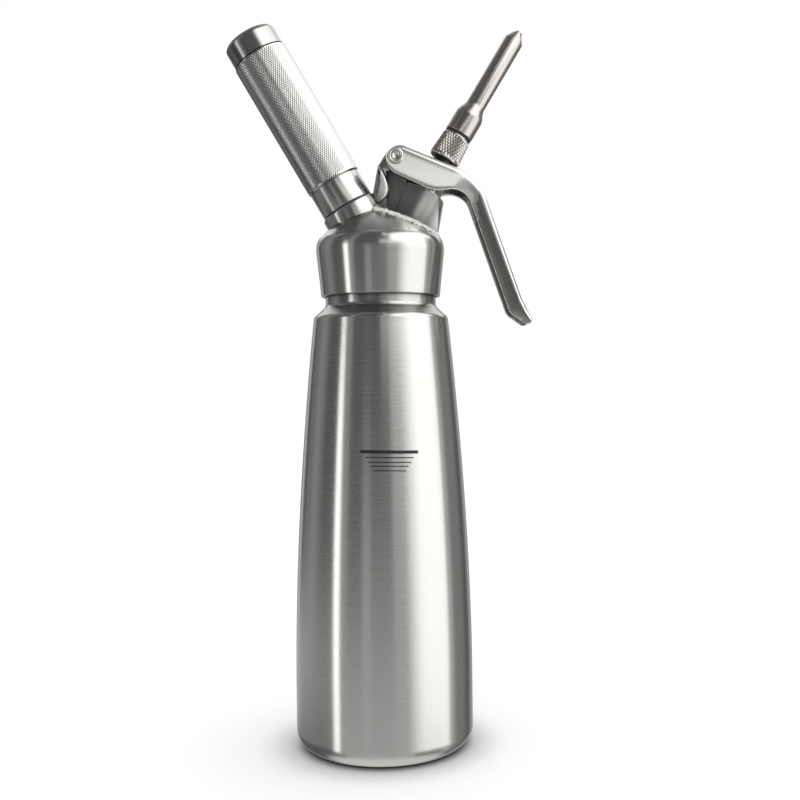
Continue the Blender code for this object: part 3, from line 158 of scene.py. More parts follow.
# Nozzle adapter and tip
ADAPTER_FOOT = 0.0597
ADAPTER_FOOT_RADIUS = 0.0077
ADAPTER_TOP = 0.0723
ADAPTER_TOP_RADIUS = 0.0069
ADAPTER_EDGE = 0.0005
ADAPTER_SPIGOT_RADIUS = 0.0045
ADAPTER_SPIGOT_LENGTH = 0.0070
ADAPTER_KNURL_COUNT = 30
ADAPTER_KNURL_DEPTH = 0.00050
WASHER_THICKNESS = 0.0007
WASHER_EDGE = 0.0002
FOOT_WASHER_THICKNESS = 0.0006
FOOT_WASHER_EDGE = 0.0003
TIP_SOCKET_DEPTH = 0.0078
TIP_FOOT_RADIUS = 0.00685
TIP_FOOT_LENGTH = 0.0092
TIP_SHOULDER_LENGTH = 0.0072
TIP_TUBE_RADIUS = 0.0047
TIP_LENGTH = 0.0574
TIP_CONE_LENGTH = 0.0056
TIP_END_RADIUS = 0.0014
TIP_WALL = 0.0009
TIP_CONE_POWER = 1.15
TIP_SHOULDER_STEPS = 24
TIP_CONE_STEPS = 10
TIP_SLITS = 4
TIP_SLIT_TURN = math.radians(40)
TIP_SLIT_WIDTH = 0.0003
TIP_SLIT_MOUTH = 0.0016
TIP_SLIT_DEPTH = 0.0034
TIP_SLIT_INNER = 0.00005

# Charger boss and holder, places along the holder axis
INLET_BOSS_RADIUS = 0.0138
INLET_BOSS_TOP = 0.0296
INLET_BOSS_FOOT = 0.0100
INLET_BOSS_EDGE = 0.0010
SHANK_RADIUS = 0.0060
SHANK_FOOT = 0.0178
NIPPLE_RADIUS = 0.0102
NIPPLE_LENGTH = 0.0112
NIPPLE_RING_WIRE = 0.0014
GAS_BORE_RADIUS = 0.0014
CHECK_VALVE_RADIUS = 0.0040
CHECK_POCKET_TOP = 0.0152
COLLAR_RADIUS = 0.0127
COLLAR_LENGTH = 0.0127
COLLAR_EDGE = 0.0005
HOLDER_MOUTH_EDGE = 0.0003
HOLDER_TUBE_RADIUS = 0.0113
HOLDER_BORE_RADIUS = 0.0093
GRIP_RADIUS = 0.0133
GRIP_LENGTH = 0.0683
GRIP_EDGE = 0.0006
GRIP_KNURL_COUNT = 76
GRIP_KNURL_DEPTH = 0.00014
KNURL_SLOPE = math.radians(30)
CAP_RADIUS = 0.0128
CAP_LENGTH = 0.0104
CAP_EDGE = 0.0026
CAP_DOME = 0.0005
CAP_PLUG_DEPTH = 0.0020

# Lever, in the X and Z of its pivot pin
PIVOT_X = 0.00745
PIVOT_RISE = 0.0424
LEVER_SHEET = 0.0015
LEVER_HALF_WIDTH = 0.0100
HANDLE_HALF_WIDTH = 0.0086
LEVER_BEND = 0.0030
LEVER_ZONE_POINTS = (26, 22, 40, 14, 20)
TIP_WEB_START = 0.35
ARM_SLOPE = math.radians(22.2)
ARM_TOP_OFFSET = 0.0066
ARM_LENGTH = 0.0399
ARM_END_REACH = 0.00415
ARM_END_ROUND = 0.0062
KNEE_ROUND = 0.0270
HANDLE_SLOPE = math.radians(19.1)
HANDLE_RUN = 0.0600
HANDLE_DEPTH = 0.0079
HANDLE_LIP_INSET = 0.0011
HANDLE_CREST_SHARE = 0.2
CHANNEL_SIDE_SHARE = 0.92
CHANNEL_LIP_SHARES = (0.6, 0.4)
CHANNEL_EDGE_SHARE = 0.8
CHANNEL_CLOSED_SHARE = 0.88
CHANNEL_BEND_STEPS = 9
CHANNEL_SIDE_STEPS = 6
CHANNEL_LIP_STEPS = 8
TIP_TURN_HALF = 12
# Where the lever handle's flat sides take the darker steel: beyond this X, below this rise, and facing along
# Y this squarely
DARKER_SIDES_X = 0.0462
DARKER_SIDES_RISE = 0.0270
DARKER_SIDES_TURN = 0.87
TIP_FLARE_SLOPE = math.radians(26.0)
TIP_FLARE_ROUND = 0.0150
TIP_CUT_SLOPE = math.radians(35.0)
TIP_CUT_DROP = 0.0057
TIP_ROUND = 0.0024
PLATE_EDGE_SLOPE = math.radians(24.5)
PLATE_EDGE_OFFSET = 0.0075
PLATE_CORNER_ROUND = 0.0075
SILL_SLOPE = math.radians(6.8)
SILL_OFFSET = 0.0182
HEEL_ROUND = 0.0140
CROOK_ROUND = 0.0095
FINGER_END_ROUND = 0.0060
FORK_DEPTH = 0.0105
FORK_RELIEF = 0.0001
STEM_SLOT_RADIUS = 0.0051
STEM_SLOT_TRAVEL = 0.0018

# Pivot pin and lug
PIN_SHAFT_RADIUS = 0.0022
PIN_HEAD_RADIUS = 0.0036
PIN_HEAD_HEIGHT = 0.0019
PIN_DIMPLE_RADIUS = 0.0023
PIN_DIMPLE_SHARES = (0.42, 1.55)
PIN_DIMPLE_TURNS = (math.radians(68), math.radians(30))
PIN_TAIL = 0.0006
RETAINER_THICKNESS = 0.0012
RUNNING_GAP = 0.0003
LUG_HALF_WIDTH = 0.0062
LUG_EYE_RADIUS = 0.0050
LUG_EYE_TURN = math.radians(30)
LUG_BACK_X = -0.0008
LUG_BACK_RISE = 0.0392
LUG_FOOT_RISE = 0.0150
LUG_FOOT_X = -0.0052
LUG_FRONT_X = 0.0125
LUG_FRONT_FOOT_X = 0.0150
LUG_CORNER = 0.0021
LUG_FLARE = 0.0032
LUG_FLARE_RISE = 0.0245
LUG_SOFTNESS = 0.0012
LUG_SOFTENING_SHARES = (-1.5, -0.5, 0.5, 1.5)
LUG_WAIST = 0.0013
LUG_WAIST_TOP = 0.0350
SIDE_START_X = 0.0030
SIDE_START_HALF = 0.0036
SIDE_END_X = 0.0125
SIDE_END_HALF = 0.0060
SIDE_CORE_HALF = 0.0030
SIDE_TOP_RISE = 0.0362
EAR_BULGE = 0.0012
EAR_BEVEL = 0.0018
EAR_OUTLINE = (
    (-0.0012, 0.0206), (0.0014, 0.0222), (0.0034, 0.0245), (0.0042, 0.0272), (0.0041, 0.0302),
    (0.0032, 0.0335), (0.0018, 0.0364), (0.0004, 0.0384), (-0.0008, 0.0390), (-0.0014, 0.0360),
    (-0.0021, 0.0320), (-0.0030, 0.0270), (-0.0038, 0.0225),
)

# Camera: where the eye stands, how it is aimed, and how the object is turned and leans in the photo
EYE_SIDE = 0.0554
EYE_DISTANCE = 0.5018
EYE_HEIGHT = 0.1739
AIM_PAN = 0.06618
AIM_TILT = -0.0178
AIM_ROLL = -0.00132
CAMERA_TURN = math.radians(7.5)
CAMERA_ROLL = math.radians(-0.64)
SENSOR_WIDTH = 36.0
LENS = 47.561
SHIFT_X = -0.04
SHIFT_Y = -0.00404

# Axes that carry the slanted pieces: where each starts on the bottle's axis, and its frame
NOZZLE_START = LAND_HEIGHT - NOZZLE_CROSS_DROP
HOLDER_START = LAND_HEIGHT - HOLDER_CROSS_DROP
HEAD_PLACE = Matrix.Translation((0, 0, LAND_HEIGHT))
NOZZLE_PLACE = Matrix.Translation((0, 0, NOZZLE_START)) @ Matrix.Rotation(NOZZLE_TILT, 4, "Y")
HOLDER_PLACE = Matrix.Translation((0, 0, HOLDER_START)) @ Matrix.Rotation(HOLDER_TILT, 4, "Y")
PIVOT = Vector((PIVOT_X, 0, LAND_HEIGHT + PIVOT_RISE))
PIVOT_PLACE = Matrix.Translation(PIVOT)
PIN_PLACE = PIVOT_PLACE @ Matrix.Rotation(-math.pi / 2, 4, "X")


def object_from(name, bm, place=Matrix(), sharp=SHARP_ANGLE):
    """A smooth shaded object at the origin from a bmesh that is set in place, with its sharp edges kept."""
    bmesh.ops.recalc_face_normals(bm, faces=bm.faces)
    mesh = bpy.data.meshes.new(name)
    bmesh.ops.transform(bm, matrix=place, verts=bm.verts)
    bm.to_mesh(mesh)
    bm.free()
    mesh.shade_smooth()
    mesh.set_sharp_from_angle(angle=sharp)
    obj = bpy.data.objects.new(name, mesh)
    bpy.context.scene.collection.objects.link(obj)
    return obj


def dress(obj, material, slot, body, *nodes):
    """Gives a piece its material, sets it on its body and lets it stand for its CAD nodes; the slot is not
    used.
    """
    obj.data.materials.clear()
    obj.data.materials.append(material)
    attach(obj, body)
    if nodes:
        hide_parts(*nodes)
    return obj


def combine(obj, others, operation):
    """Applies Booleans with other objects, which are then removed."""
    for other in others:
        modifier = obj.modifiers.new(other.name, "BOOLEAN")
        modifier.operation = operation
        modifier.object = other
    depsgraph = bpy.context.evaluated_depsgraph_get()
    mesh = bpy.data.meshes.new_from_object(obj.evaluated_get(depsgraph))
    obj.modifiers.clear()
    old = obj.data
    obj.data = mesh
    bpy.data.meshes.remove(old)
    for other in others:
        bpy.data.objects.remove(other)
    mesh.shade_smooth()
    mesh.set_sharp_from_angle(angle=SHARP_ANGLE)
    return obj


def bridged(bm, rings):
    """Joins equally long rings of vertices, each to the next."""
    for low, high in zip(rings, rings[1:]):
        for i in range(len(low)):
            bm.faces.new((low[i - 1], low[i], high[i], high[i - 1]))


def round_point(radius, angle, height):
    """A point in cylinder coordinates about Z."""
    return radius * math.cos(angle), radius * math.sin(angle), height


def arc(centre, radius, start, end, count):
    """Points of a circular arc in a plane, both ends included."""
    return [
        (
            centre[0] + radius * math.cos(start + (end - start) * i / count),
            centre[1] + radius * math.sin(start + (end - start) * i / count),
        )
        for i in range(count + 1)
    ]


def rounded_corner(before, corner, after, radius, count):
    """Points of the arc that rounds a corner of a path."""
    incoming = (before - corner).normalized()
    outgoing = (after - corner).normalized()
    half = incoming.angle(outgoing) / 2
    start = corner + incoming * radius / math.tan(half)
    centre = corner + (incoming + outgoing).normalized() * radius / math.sin(half)
    end = corner + outgoing * radius / math.tan(half)
    sweep = (start - centre).angle_signed(end - centre)
    return [centre + Matrix.Rotation(-sweep * i / count, 2) @ (start - centre) for i in range(count + 1)]


def eased(corners):
    """A closed outline from (radius, height, rounding) corners."""
    points = []
    places = [Vector(corner[:2]) for corner in corners]
    for i, corner in enumerate(corners):
        if len(corner) == 2 or corner[2] == 0:
            points.append(tuple(places[i]))
            continue
        after = places[(i + 1) % len(corners)]
        points += [tuple(p) for p in rounded_corner(places[i - 1], places[i], after, corner[2], CORNER_STEPS)]
    return points


def lathe(name, outline, facets, place=Matrix(), sharp=SHARP_ANGLE):
    """A solid of revolution about Z from a closed outline of (radius, height) points."""
    bm = bmesh.new()
    rings = []
    for radius, height in outline:
        if radius < WELD:
            rings.append([bm.verts.new((0, 0, height))])
            continue
        circle = arc((0, 0), radius, 0, math.tau, facets)[:-1]
        rings.append([bm.verts.new((x, y, height)) for x, y in circle])
    for low, high in zip(rings, rings[1:] + rings[:1]):
        if len(low) == len(high) == 1:
            continue
        for i in range(facets):
            after = (i + 1) % facets
            corners = [low[i % len(low)], low[after % len(low)], high[after % len(high)], high[i % len(high)]]
            bm.faces.new(list(dict.fromkeys(corners)))
    return object_from(name, bm, place, sharp)


def lofted(name, sections, place=Matrix(), sharp=SHARP_ANGLE):
    """Closed rings of equally many points, bridged one to the next and capped at both ends."""
    bm = bmesh.new()
    rings = [[bm.verts.new(point) for point in section] for section in sections]
    bridged(bm, rings)
    bm.faces.new(rings[0])
    bm.faces.new(rings[-1])
    bmesh.ops.remove_doubles(bm, verts=bm.verts, dist=WELD)
    return object_from(name, bm, place, sharp)


def prism(name, outline, low_y, high_y, place=Matrix()):
    """A flat outline of (x, z) points extruded along Y."""
    near = [(x, low_y, z) for x, z in outline]
    far = [(x, high_y, z) for x, z in outline]
    return lofted(name, [near, far], place)


def power_taper(share):
    return share**TAPER_POWER


def bottle_radius(height):
    """The bottle's outer radius on its tapering side."""
    start = SHOULDER_HEIGHT - SHOULDER_ROUND
    share = max((height - BELLY_HEIGHT) / (start - BELLY_HEIGHT), 0)
    return BODY_RADIUS - (BODY_RADIUS - SHOULDER_RADIUS) * power_taper(share)


def bottle_side(inset, steps):
    """The bottle's outline from the base's flat to the shoulder, drawn in by a wall."""
    corner_radius = BODY_RADIUS - BASE_FLAT_RADIUS
    points = []
    for i in range(steps // 4 + 1):
        angle = math.pi / 2 * i / (steps // 4)
        radius = BASE_FLAT_RADIUS + (corner_radius - inset) * math.sin(angle)
        points.append((radius, BASE_CORNER_HEIGHT - (BASE_CORNER_HEIGHT - inset) * math.cos(angle)))
    start = SHOULDER_HEIGHT - SHOULDER_ROUND
    for i in range(steps):
        height = BELLY_HEIGHT + (start - BELLY_HEIGHT) * i / (steps - 1)
        points.append((bottle_radius(height) - inset, height))
    centre = (SHOULDER_RADIUS - SHOULDER_ROUND, start)
    return points + arc(centre, SHOULDER_ROUND - inset, 0, SHOULDER_TURN, steps // 6)[1:]


def neck_fillet(foot):
    """The hollow between shoulder and neck."""
    corner = Vector((NECK_RADIUS, NECK_FOOT_HEIGHT))
    above = Vector((NECK_RADIUS, NECK_TOP_HEIGHT))
    return [tuple(p) for p in rounded_corner(Vector(foot), corner, above, NECK_FILLET, CORNER_STEPS * 2)]


def build_bottle(material):
    """Drawn shell with a rounded base corner, tapering belly and a hollow under the neck."""
    outer = [(0, 0)] + bottle_side(0, SIDE_STEPS)
    outer += neck_fillet(outer[-1])
    outer += arc((NECK_RADIUS - NECK_LIP, NECK_TOP_HEIGHT - NECK_LIP), NECK_LIP, 0, math.pi / 2, CORNER_STEPS)
    bore = NECK_RADIUS - NECK_WALL
    inner = [(0, BODY_WALL)] + bottle_side(BODY_WALL, SIDE_STEPS // 2)
    inner += [(bore, NECK_FOOT_HEIGHT - BODY_WALL / 2), (bore, NECK_TOP_HEIGHT)]
    bottle = lathe("bottle_shell", outer + inner[::-1], BODY_FACETS)
    dress(bottle, material, "brushed_bottle", "bottle", "bottle")


def helix_ridge(name, radius, height, pitch, turns, foot, place, facets):
    """A raised thread of triangular section that fades in and out at its ends."""
    bm = bmesh.new()
    count = int(facets * turns)
    rings = []
    for i in range(count + 1):
        angle = math.tau * i / facets
        fade = min(i, count - i, facets // 8) / (facets // 8)
        rise = foot + pitch * i / facets
        ring = []
        for share, crest in THREAD_PROFILE_SHARES:
            reach = radius + (height * fade if crest else -THREAD_ROOT_DEPTH)
            ring.append(bm.verts.new(round_point(reach, angle, rise + share * pitch)))
        rings.append(ring)
    bridged(bm, rings)
    bm.faces.new(rings[0])
    bm.faces.new(rings[-1])
    return object_from(name, bm, place)


def curved_strip(bm, height, half_length, thickness):
    """One printed line wrapped on the bottle's front, with a hair of thickness."""
    columns = []
    for i in range(STRIP_STEPS + 1):
        along = (2 * i / STRIP_STEPS - 1) * half_length
        column = []
        for lift in (-MARK_LIFT, MARK_LIFT):
            for z in (height - thickness / 2, height + thickness / 2):
                z += along * MARK_LEAN
                radius = bottle_radius(z) + lift
                angle = MARK_TURN + along / bottle_radius(height)
                column.append(bm.verts.new((radius * math.sin(angle), -radius * math.cos(angle), z)))
        columns.append([column[0], column[1], column[3], column[2]])
    bridged(bm, columns)
    bm.faces.new(columns[0])
    bm.faces.new(columns[-1])


def build_fill_mark(material):
    bm = bmesh.new()
    curved_strip(bm, MARK_HEIGHT, MARK_HALF_LENGTH, MARK_THICKNESS)
    for drop, half_length in THIN_MARKS:
        curved_strip(bm, MARK_HEIGHT - drop, half_length, THIN_MARK_THICKNESS)
    dress(object_from("fill_mark", bm), material, "silicone", "bottle")


def dome_centre():
    return SKIRT_TOP_RISE - math.sqrt(DOME_RADIUS**2 - SKIRT_TOP_RADIUS**2)


def head_outline():
    """Skirt, its rounded shoulder and the dome."""
    shoulder_height = SKIRT_TOP_RISE + SKIRT_WIDEST_DROP
    shoulder_depth = SKIRT_RADIUS - SKIRT_TOP_RADIUS
    points = [(0, -SKIRT_DROP)]
    points += arc(
        (SKIRT_FOOT_RADIUS - SKIRT_EDGE, -SKIRT_DROP + SKIRT_EDGE), SKIRT_EDGE, -math.pi / 2, 0, CORNER_STEPS
    )
    for i in range(1, SKIRT_STEPS):
        share = i / SKIRT_STEPS
        height = -SKIRT_DROP + SKIRT_EDGE + (SKIRT_DROP - SKIRT_EDGE - SKIRT_WIDEST_DROP) * share
        points.append((SKIRT_FOOT_RADIUS + (SKIRT_RADIUS - SKIRT_FOOT_RADIUS) * share, height))
    for i in range(DOME_STEPS):
        angle = math.pi / 2 * i / DOME_STEPS
        radius = SKIRT_TOP_RADIUS + shoulder_depth * math.cos(angle)
        points.append((radius, shoulder_height * math.sin(angle) - SKIRT_WIDEST_DROP))
    edge_angle = math.asin(SKIRT_TOP_RADIUS / DOME_RADIUS)
    for i in range(DOME_STEPS + 1):
        angle = edge_angle * (1 - i / DOME_STEPS)
        points.append((DOME_RADIUS * math.sin(angle), dome_centre() + DOME_RADIUS * math.cos(angle)))
    return points


def lug_back(rise):
    """The X of the lug's back, before its corners are softened."""
    if rise < LUG_BACK_RISE:
        share = (LUG_BACK_RISE - rise) / (LUG_BACK_RISE - LUG_FOOT_RISE)
        return LUG_BACK_X + (LUG_FOOT_X - LUG_BACK_X) * share
    top = PIVOT_RISE + LUG_EYE_RADIUS / 2
    if rise < top:
        edge = PIVOT_X - LUG_EYE_RADIUS * math.cos(LUG_EYE_TURN)
        return LUG_BACK_X + (edge - LUG_BACK_X) * (rise - LUG_BACK_RISE) / (top - LUG_BACK_RISE)
    return PIVOT_X - math.sqrt(max(LUG_EYE_RADIUS**2 - (rise - PIVOT_RISE) ** 2, 0))


def lug_level(rise):
    """How far the lug reaches along X, and its half width, at one height above the land."""
    front = PIVOT_X + math.sqrt(max(LUG_EYE_RADIUS**2 - (rise - PIVOT_RISE) ** 2, 0))
    if rise < PIVOT_RISE:
        share = (PIVOT_RISE - rise) / (PIVOT_RISE - LUG_FOOT_RISE)
        front = LUG_FRONT_X + (LUG_FRONT_FOOT_X - LUG_FRONT_X) * share
    back = lug_back(rise)
    if rise < PIVOT_RISE + LUG_EYE_RADIUS / 2:
        backs = [lug_back(rise + LUG_SOFTNESS * step) for step in LUG_SOFTENING_SHARES]
        back = sum(backs) / len(backs)
    flare = 0.0
    if rise < LUG_FLARE_RISE:
        share = (LUG_FLARE_RISE - rise) / (LUG_FLARE_RISE - LUG_FOOT_RISE)
        flare = LUG_FLARE * (1 - math.sqrt(1 - min(share, 1) ** 2))
    waist = LUG_WAIST * min(max((LUG_WAIST_TOP - rise) / (LUG_WAIST_TOP - LUG_FLARE_RISE), 0), 1)
    return back, front, LUG_HALF_WIDTH - waist + flare


def rounded_box_ring(low, high, half_width, corner, height):
    """A rounded rectangle in X and Y at one height."""
    corner = min(corner, (high - low) * LARGEST_ROUND_SHARE)
    centres = (
        (high - corner, half_width - corner, 0),
        (low + corner, half_width - corner, 1),
        (low + corner, corner - half_width, 2),
        (high - corner, corner - half_width, 3),
    )
    points = []
    for x, y, quarter in centres:
        for px, py in arc((x, y), corner, quarter * math.pi / 2, (quarter + 1) * math.pi / 2, 6):
            points.append((px, py, height))
    return points


def lug_form():
    """Upright lug that grows out of the dome and ends in the pivot's eye."""
    rises = [LUG_FOOT_RISE + (LUG_BACK_RISE - LUG_FOOT_RISE) * i / LUG_STEPS for i in range(LUG_STEPS + 1)]
    rises += [PIVOT_RISE + LUG_EYE_RADIUS * math.sin(math.pi / 2 * i / EYE_STEPS) for i in range(EYE_STEPS)]
    sections = []
    for rise in sorted(rises):
        back, front, half_width = lug_level(rise)
        sections.append(rounded_box_ring(back, front, half_width, LUG_CORNER, rise))
    return lofted("lug_form", sections, HEAD_PLACE)


def upright_prism(name, outline, low, high, place):
    """A solid on an outline in X and Y, from one height to another."""
    return prism(name, [(x, -y) for x, y in outline], low, high, place @ Matrix.Rotation(math.pi / 2, 4, "X"))


def lug_body():
    """The lug, with its sides behind the ears cut back to slant out towards the valve boss."""
    lug = lug_form()
    reach = LUG_HALF_WIDTH + CUT_OVERRUN
    for side in (-1, 1):
        core, outside, end = side * SIDE_CORE_HALF, side * reach, reach + SIDE_END_X
        block = [(SIDE_START_X, core), (end, core), (end, outside), (SIDE_START_X, outside)]
        cutter = upright_prism("lug_side", block, LUG_FOOT_RISE - CUT_OVERRUN, SIDE_TOP_RISE, HEAD_PLACE)
        combine(lug, [cutter], "DIFFERENCE")
    wedge = [
        (SIDE_START_X - SEAT_GAP, SIDE_START_HALF), (SIDE_END_X, SIDE_END_HALF),
        (SIDE_END_X, -SIDE_END_HALF), (SIDE_START_X - SEAT_GAP, -SIDE_START_HALF),
    ]
    web = upright_prism("lug_web", wedge, LUG_FOOT_RISE, SIDE_TOP_RISE, HEAD_PLACE)
    return combine(lug, [web], "UNION")


def lug_ears():
    """Thicker lobe at the lug's back, rounded towards both sides."""
    low = -LUG_HALF_WIDTH - EAR_BULGE
    bm = bmesh.new()
    face = bm.faces.new([bm.verts.new((x, low, z)) for x, z in EAR_OUTLINE])
    grown = bmesh.ops.extrude_face_region(bm, geom=[face])["geom"]
    moved = [item for item in grown if isinstance(item, bmesh.types.BMVert)]
    bmesh.ops.translate(bm, verts=moved, vec=(0, -2 * low, 0))
    rims = [edge for edge in bm.edges if abs(edge.verts[0].co.y - edge.verts[1].co.y) < WELD]
    bmesh.ops.bevel(bm, geom=rims, offset=EAR_BEVEL, segments=5, profile=0.5, affect="EDGES")
    return object_from("lug_ears", bm, HEAD_PLACE)


def flat_half_width(x):
    """Half the valve boss's width across its slightly rounded flats, at X across the valve's axis."""
    away = x - FLAT_MIDDLE
    if away < 0:
        return FLAT_HALF_WIDTH - FLAT_ROUND_LEFT + math.sqrt(FLAT_ROUND_LEFT**2 - away**2)
    bend = min(away, FLAT_ROUND_RIGHT * math.sin(FLAT_ROUND_TURN))
    width = FLAT_HALF_WIDTH - FLAT_ROUND_RIGHT + math.sqrt(FLAT_ROUND_RIGHT**2 - bend**2)
    return max(width - (away - bend) * math.tan(FLAT_ROUND_TURN), 0)


def flat_cutter(side):
    """What is milled off one side of the valve boss."""
    reach = VALVE_BOSS_FOOT_RADIUS + CUT_OVERRUN
    across = [reach * (2 * i / FLAT_STEPS - 1) for i in range(FLAT_STEPS + 1)]
    outline = [(x, side * flat_half_width(x)) for x in across]
    outline += [(reach, side * reach), (-reach, side * reach)]
    return upright_prism("boss_flat", outline, 0, VALVE_BOSS_TOP + CUT_OVERRUN, NOZZLE_PLACE)


def valve_boss_form():
    outline = eased([
        (0, VALVE_BOSS_FOOT),
        (VALVE_BOSS_FOOT_RADIUS, VALVE_BOSS_FOOT),
        (VALVE_BOSS_TOP_RADIUS, VALVE_BOSS_TOP, VALVE_BOSS_EDGE),
        (0, VALVE_BOSS_TOP),
    ])
    boss = lathe("valve_boss_form", outline, BOSS_FACETS, NOZZLE_PLACE)
    reach = SKIRT_RADIUS + CUT_OVERRUN
    back = [
        (BOSS_SIDE_FOOT_X, BOSS_SIDE_FOOT_RISE),
        (BOSS_SIDE_TOP_X, BOSS_SIDE_TOP_RISE),
        (BOSS_SIDE_TOP_X + LUG_EYE_RADIUS, PIVOT_RISE),
        (-reach, PIVOT_RISE),
        (-reach, BOSS_SIDE_FOOT_RISE),
    ]
    start = LUG_HALF_WIDTH - LUG_WAIST - BOSS_SIDE_COVER
    cutters = [
        flat_cutter(-1),
        flat_cutter(1),
        prism("back_far", back, start, start + reach, HEAD_PLACE),
        prism("back_near", back, -start - reach, -start, HEAD_PLACE),
    ]
    return combine(boss, cutters, "DIFFERENCE")


def inlet_boss_form():
    outline = eased([
        (0, INLET_BOSS_FOOT),
        (INLET_BOSS_RADIUS, INLET_BOSS_FOOT),
        (INLET_BOSS_RADIUS, INLET_BOSS_TOP, INLET_BOSS_EDGE),
        (0, INLET_BOSS_TOP),
    ])
    return lathe("inlet_boss_form", outline, BOSS_FACETS, HOLDER_PLACE)


def head_cutters():
    """Neck bore and recess, both slanted bores and the pivot's eye."""
    bore = NECK_RADIUS + NECK_CLEARANCE
    low = -SKIRT_DROP - CUT_OVERRUN
    cavity = [(0, low), (bore, low), (bore, 0)]
    cavity += [(RECESS_RADIUS, 0), (RECESS_RADIUS, RECESS_RISE), (0, RECESS_RISE)]
    gland = GLAND_BORE_RADIUS + SEAT_GAP
    valve = [
        (0, CAGE_FOOT - CUT_OVERRUN),
        (CAGE_BORE_RADIUS, CAGE_FOOT - CUT_OVERRUN),
        (CAGE_BORE_RADIUS, SEAT_PLACE),
        (SEAT_BORE_RADIUS, SEAT_PLACE),
        (SEAT_BORE_RADIUS, O_RING_SEAT),
        (gland, O_RING_SEAT),
        (gland, VALVE_BOSS_TOP + CUT_OVERRUN),
        (0, VALVE_BOSS_TOP + CUT_OVERRUN),
    ]
    pocket = CHECK_VALVE_RADIUS + SEAT_GAP
    shank = SHANK_RADIUS + SEAT_GAP
    groove = NIPPLE_RADIUS - NIPPLE_RING_WIRE
    inlet = [
        (0, INLET_BOSS_FOOT - CUT_OVERRUN),
        (pocket, INLET_BOSS_FOOT - CUT_OVERRUN),
        (pocket, CHECK_POCKET_TOP),
        (GAS_BORE_RADIUS, CHECK_POCKET_TOP),
        (GAS_BORE_RADIUS, SHANK_FOOT - SEAT_GAP),
        (shank, SHANK_FOOT - SEAT_GAP),
        (shank, INLET_BOSS_TOP - NIPPLE_RING_WIRE),
        (groove, INLET_BOSS_TOP - NIPPLE_RING_WIRE),
        (groove, INLET_BOSS_TOP + CUT_OVERRUN),
        (0, INLET_BOSS_TOP + CUT_OVERRUN),
    ]
    return [
        lathe("neck_cavity", cavity, BODY_FACETS, HEAD_PLACE),
        lathe("valve_bores", valve, SMALL_FACETS, NOZZLE_PLACE),
        lathe("inlet_bores", inlet, SMALL_FACETS, HOLDER_PLACE),
        cross_bore("pivot_eye", LUG_HALF_WIDTH + CUT_OVERRUN),
    ]


def cross_bore(name, half_length):
    """The pivot's hole along Y."""
    radius = PIN_SHAFT_RADIUS + RUNNING_GAP
    outline = [(0, -half_length), (radius, -half_length), (radius, half_length), (0, half_length)]
    return lathe(name, outline, SMALL_FACETS, PIN_PLACE)


def build_head(material):
    """The casting: skirt, dome, two bosses and the pivot's lug, then all its bores."""
    head = lathe("head_casting", head_outline(), BODY_FACETS, HEAD_PLACE)
    combine(head, [valve_boss_form(), inlet_boss_form(), lug_body(), lug_ears()], "UNION")
    combine(head, head_cutters(), "DIFFERENCE")
    dress(head, material, "brushed_head", "head", "head")


def boss_seam(angle):
    """Where one generator of the valve boss's cone meets the dome, and the cone's outward normal there."""
    slope = (VALVE_BOSS_FOOT_RADIUS - VALVE_BOSS_TOP_RADIUS) / (VALVE_BOSS_TOP - VALVE_BOSS_FOOT)
    centre = Vector((0, 0, LAND_HEIGHT + dome_centre()))
    low, high = VALVE_BOSS_FOOT - CUT_OVERRUN, VALVE_BOSS_TOP
    for _ in range(SEAM_HALVINGS):
        middle = (low + high) / 2
        radius = VALVE_BOSS_TOP_RADIUS + slope * (VALVE_BOSS_TOP - middle)
        point = NOZZLE_PLACE @ Vector(round_point(radius, angle, middle))
        if (point - centre).length < DOME_RADIUS:
            low = middle
        else:
            high = middle
    return point, (point - centre).normalized()


def build_bead(material):
    """The rough weld bead between dome and valve boss."""
    bm = bmesh.new()
    seam = [boss_seam(math.tau * i / BEAD_STEPS) for i in range(BEAD_STEPS)]
    rings = []
    for i, (point, normal) in enumerate(seam):
        along = (seam[(i + 1) % BEAD_STEPS][0] - seam[i - 1][0]).normalized()
        side = along.cross(normal).normalized()
        ring = []
        for j in range(BEAD_SIDES):
            turn = math.tau * j / BEAD_SIDES
            out = side * math.cos(turn) + normal * math.sin(turn) * BEAD_FLATNESS
            rough = noise.fractal((point + out * BEAD_RADIUS) * BEAD_GRAINS, *BEAD_NOISE)
            ring.append(bm.verts.new(point + out * (BEAD_RADIUS + BEAD_ROUGHNESS * rough)))
        rings.append(ring)
    bridged(bm, rings[-1:] + rings)
    dress(object_from("boss_weld_bead", bm), material, "brushed_head", "head")


def knurled_wall(bm, count, low, high, radius_low, radius_high, depth):
    """Rings of a diamond knurl: peaks and valleys take turns, and each cell folds along its valleys."""
    columns = 2 * count
    mean = (radius_low + radius_high) / 2
    step = math.pi * mean / count / math.tan(KNURL_SLOPE)
    rows = max(round((high - low) / step), 2)
    grid = []
    for j in range(rows + 1):
        share = j / rows
        radius = radius_low + (radius_high - radius_low) * share
        ring = []
        for i in range(columns):
            lift = depth if (i + j) % 2 == 0 else 0
            if j in (0, rows):
                lift = depth / 2
            angle = math.tau * i / columns
            reach = radius - lift
            ring.append(bm.verts.new(round_point(reach, angle, low + (high - low) * share)))
        grid.append(ring)
    for j in range(rows):
        for i in range(columns):
            after = (i + 1) % columns
            a, b, c, d = grid[j][i], grid[j][after], grid[j + 1][after], grid[j + 1][i]
            if (i + j) % 2 == 0:
                bm.faces.new((a, b, c))
                bm.faces.new((a, c, d))
            else:
                bm.faces.new((a, b, d))
                bm.faces.new((b, c, d))
    return grid[0], grid[-1]


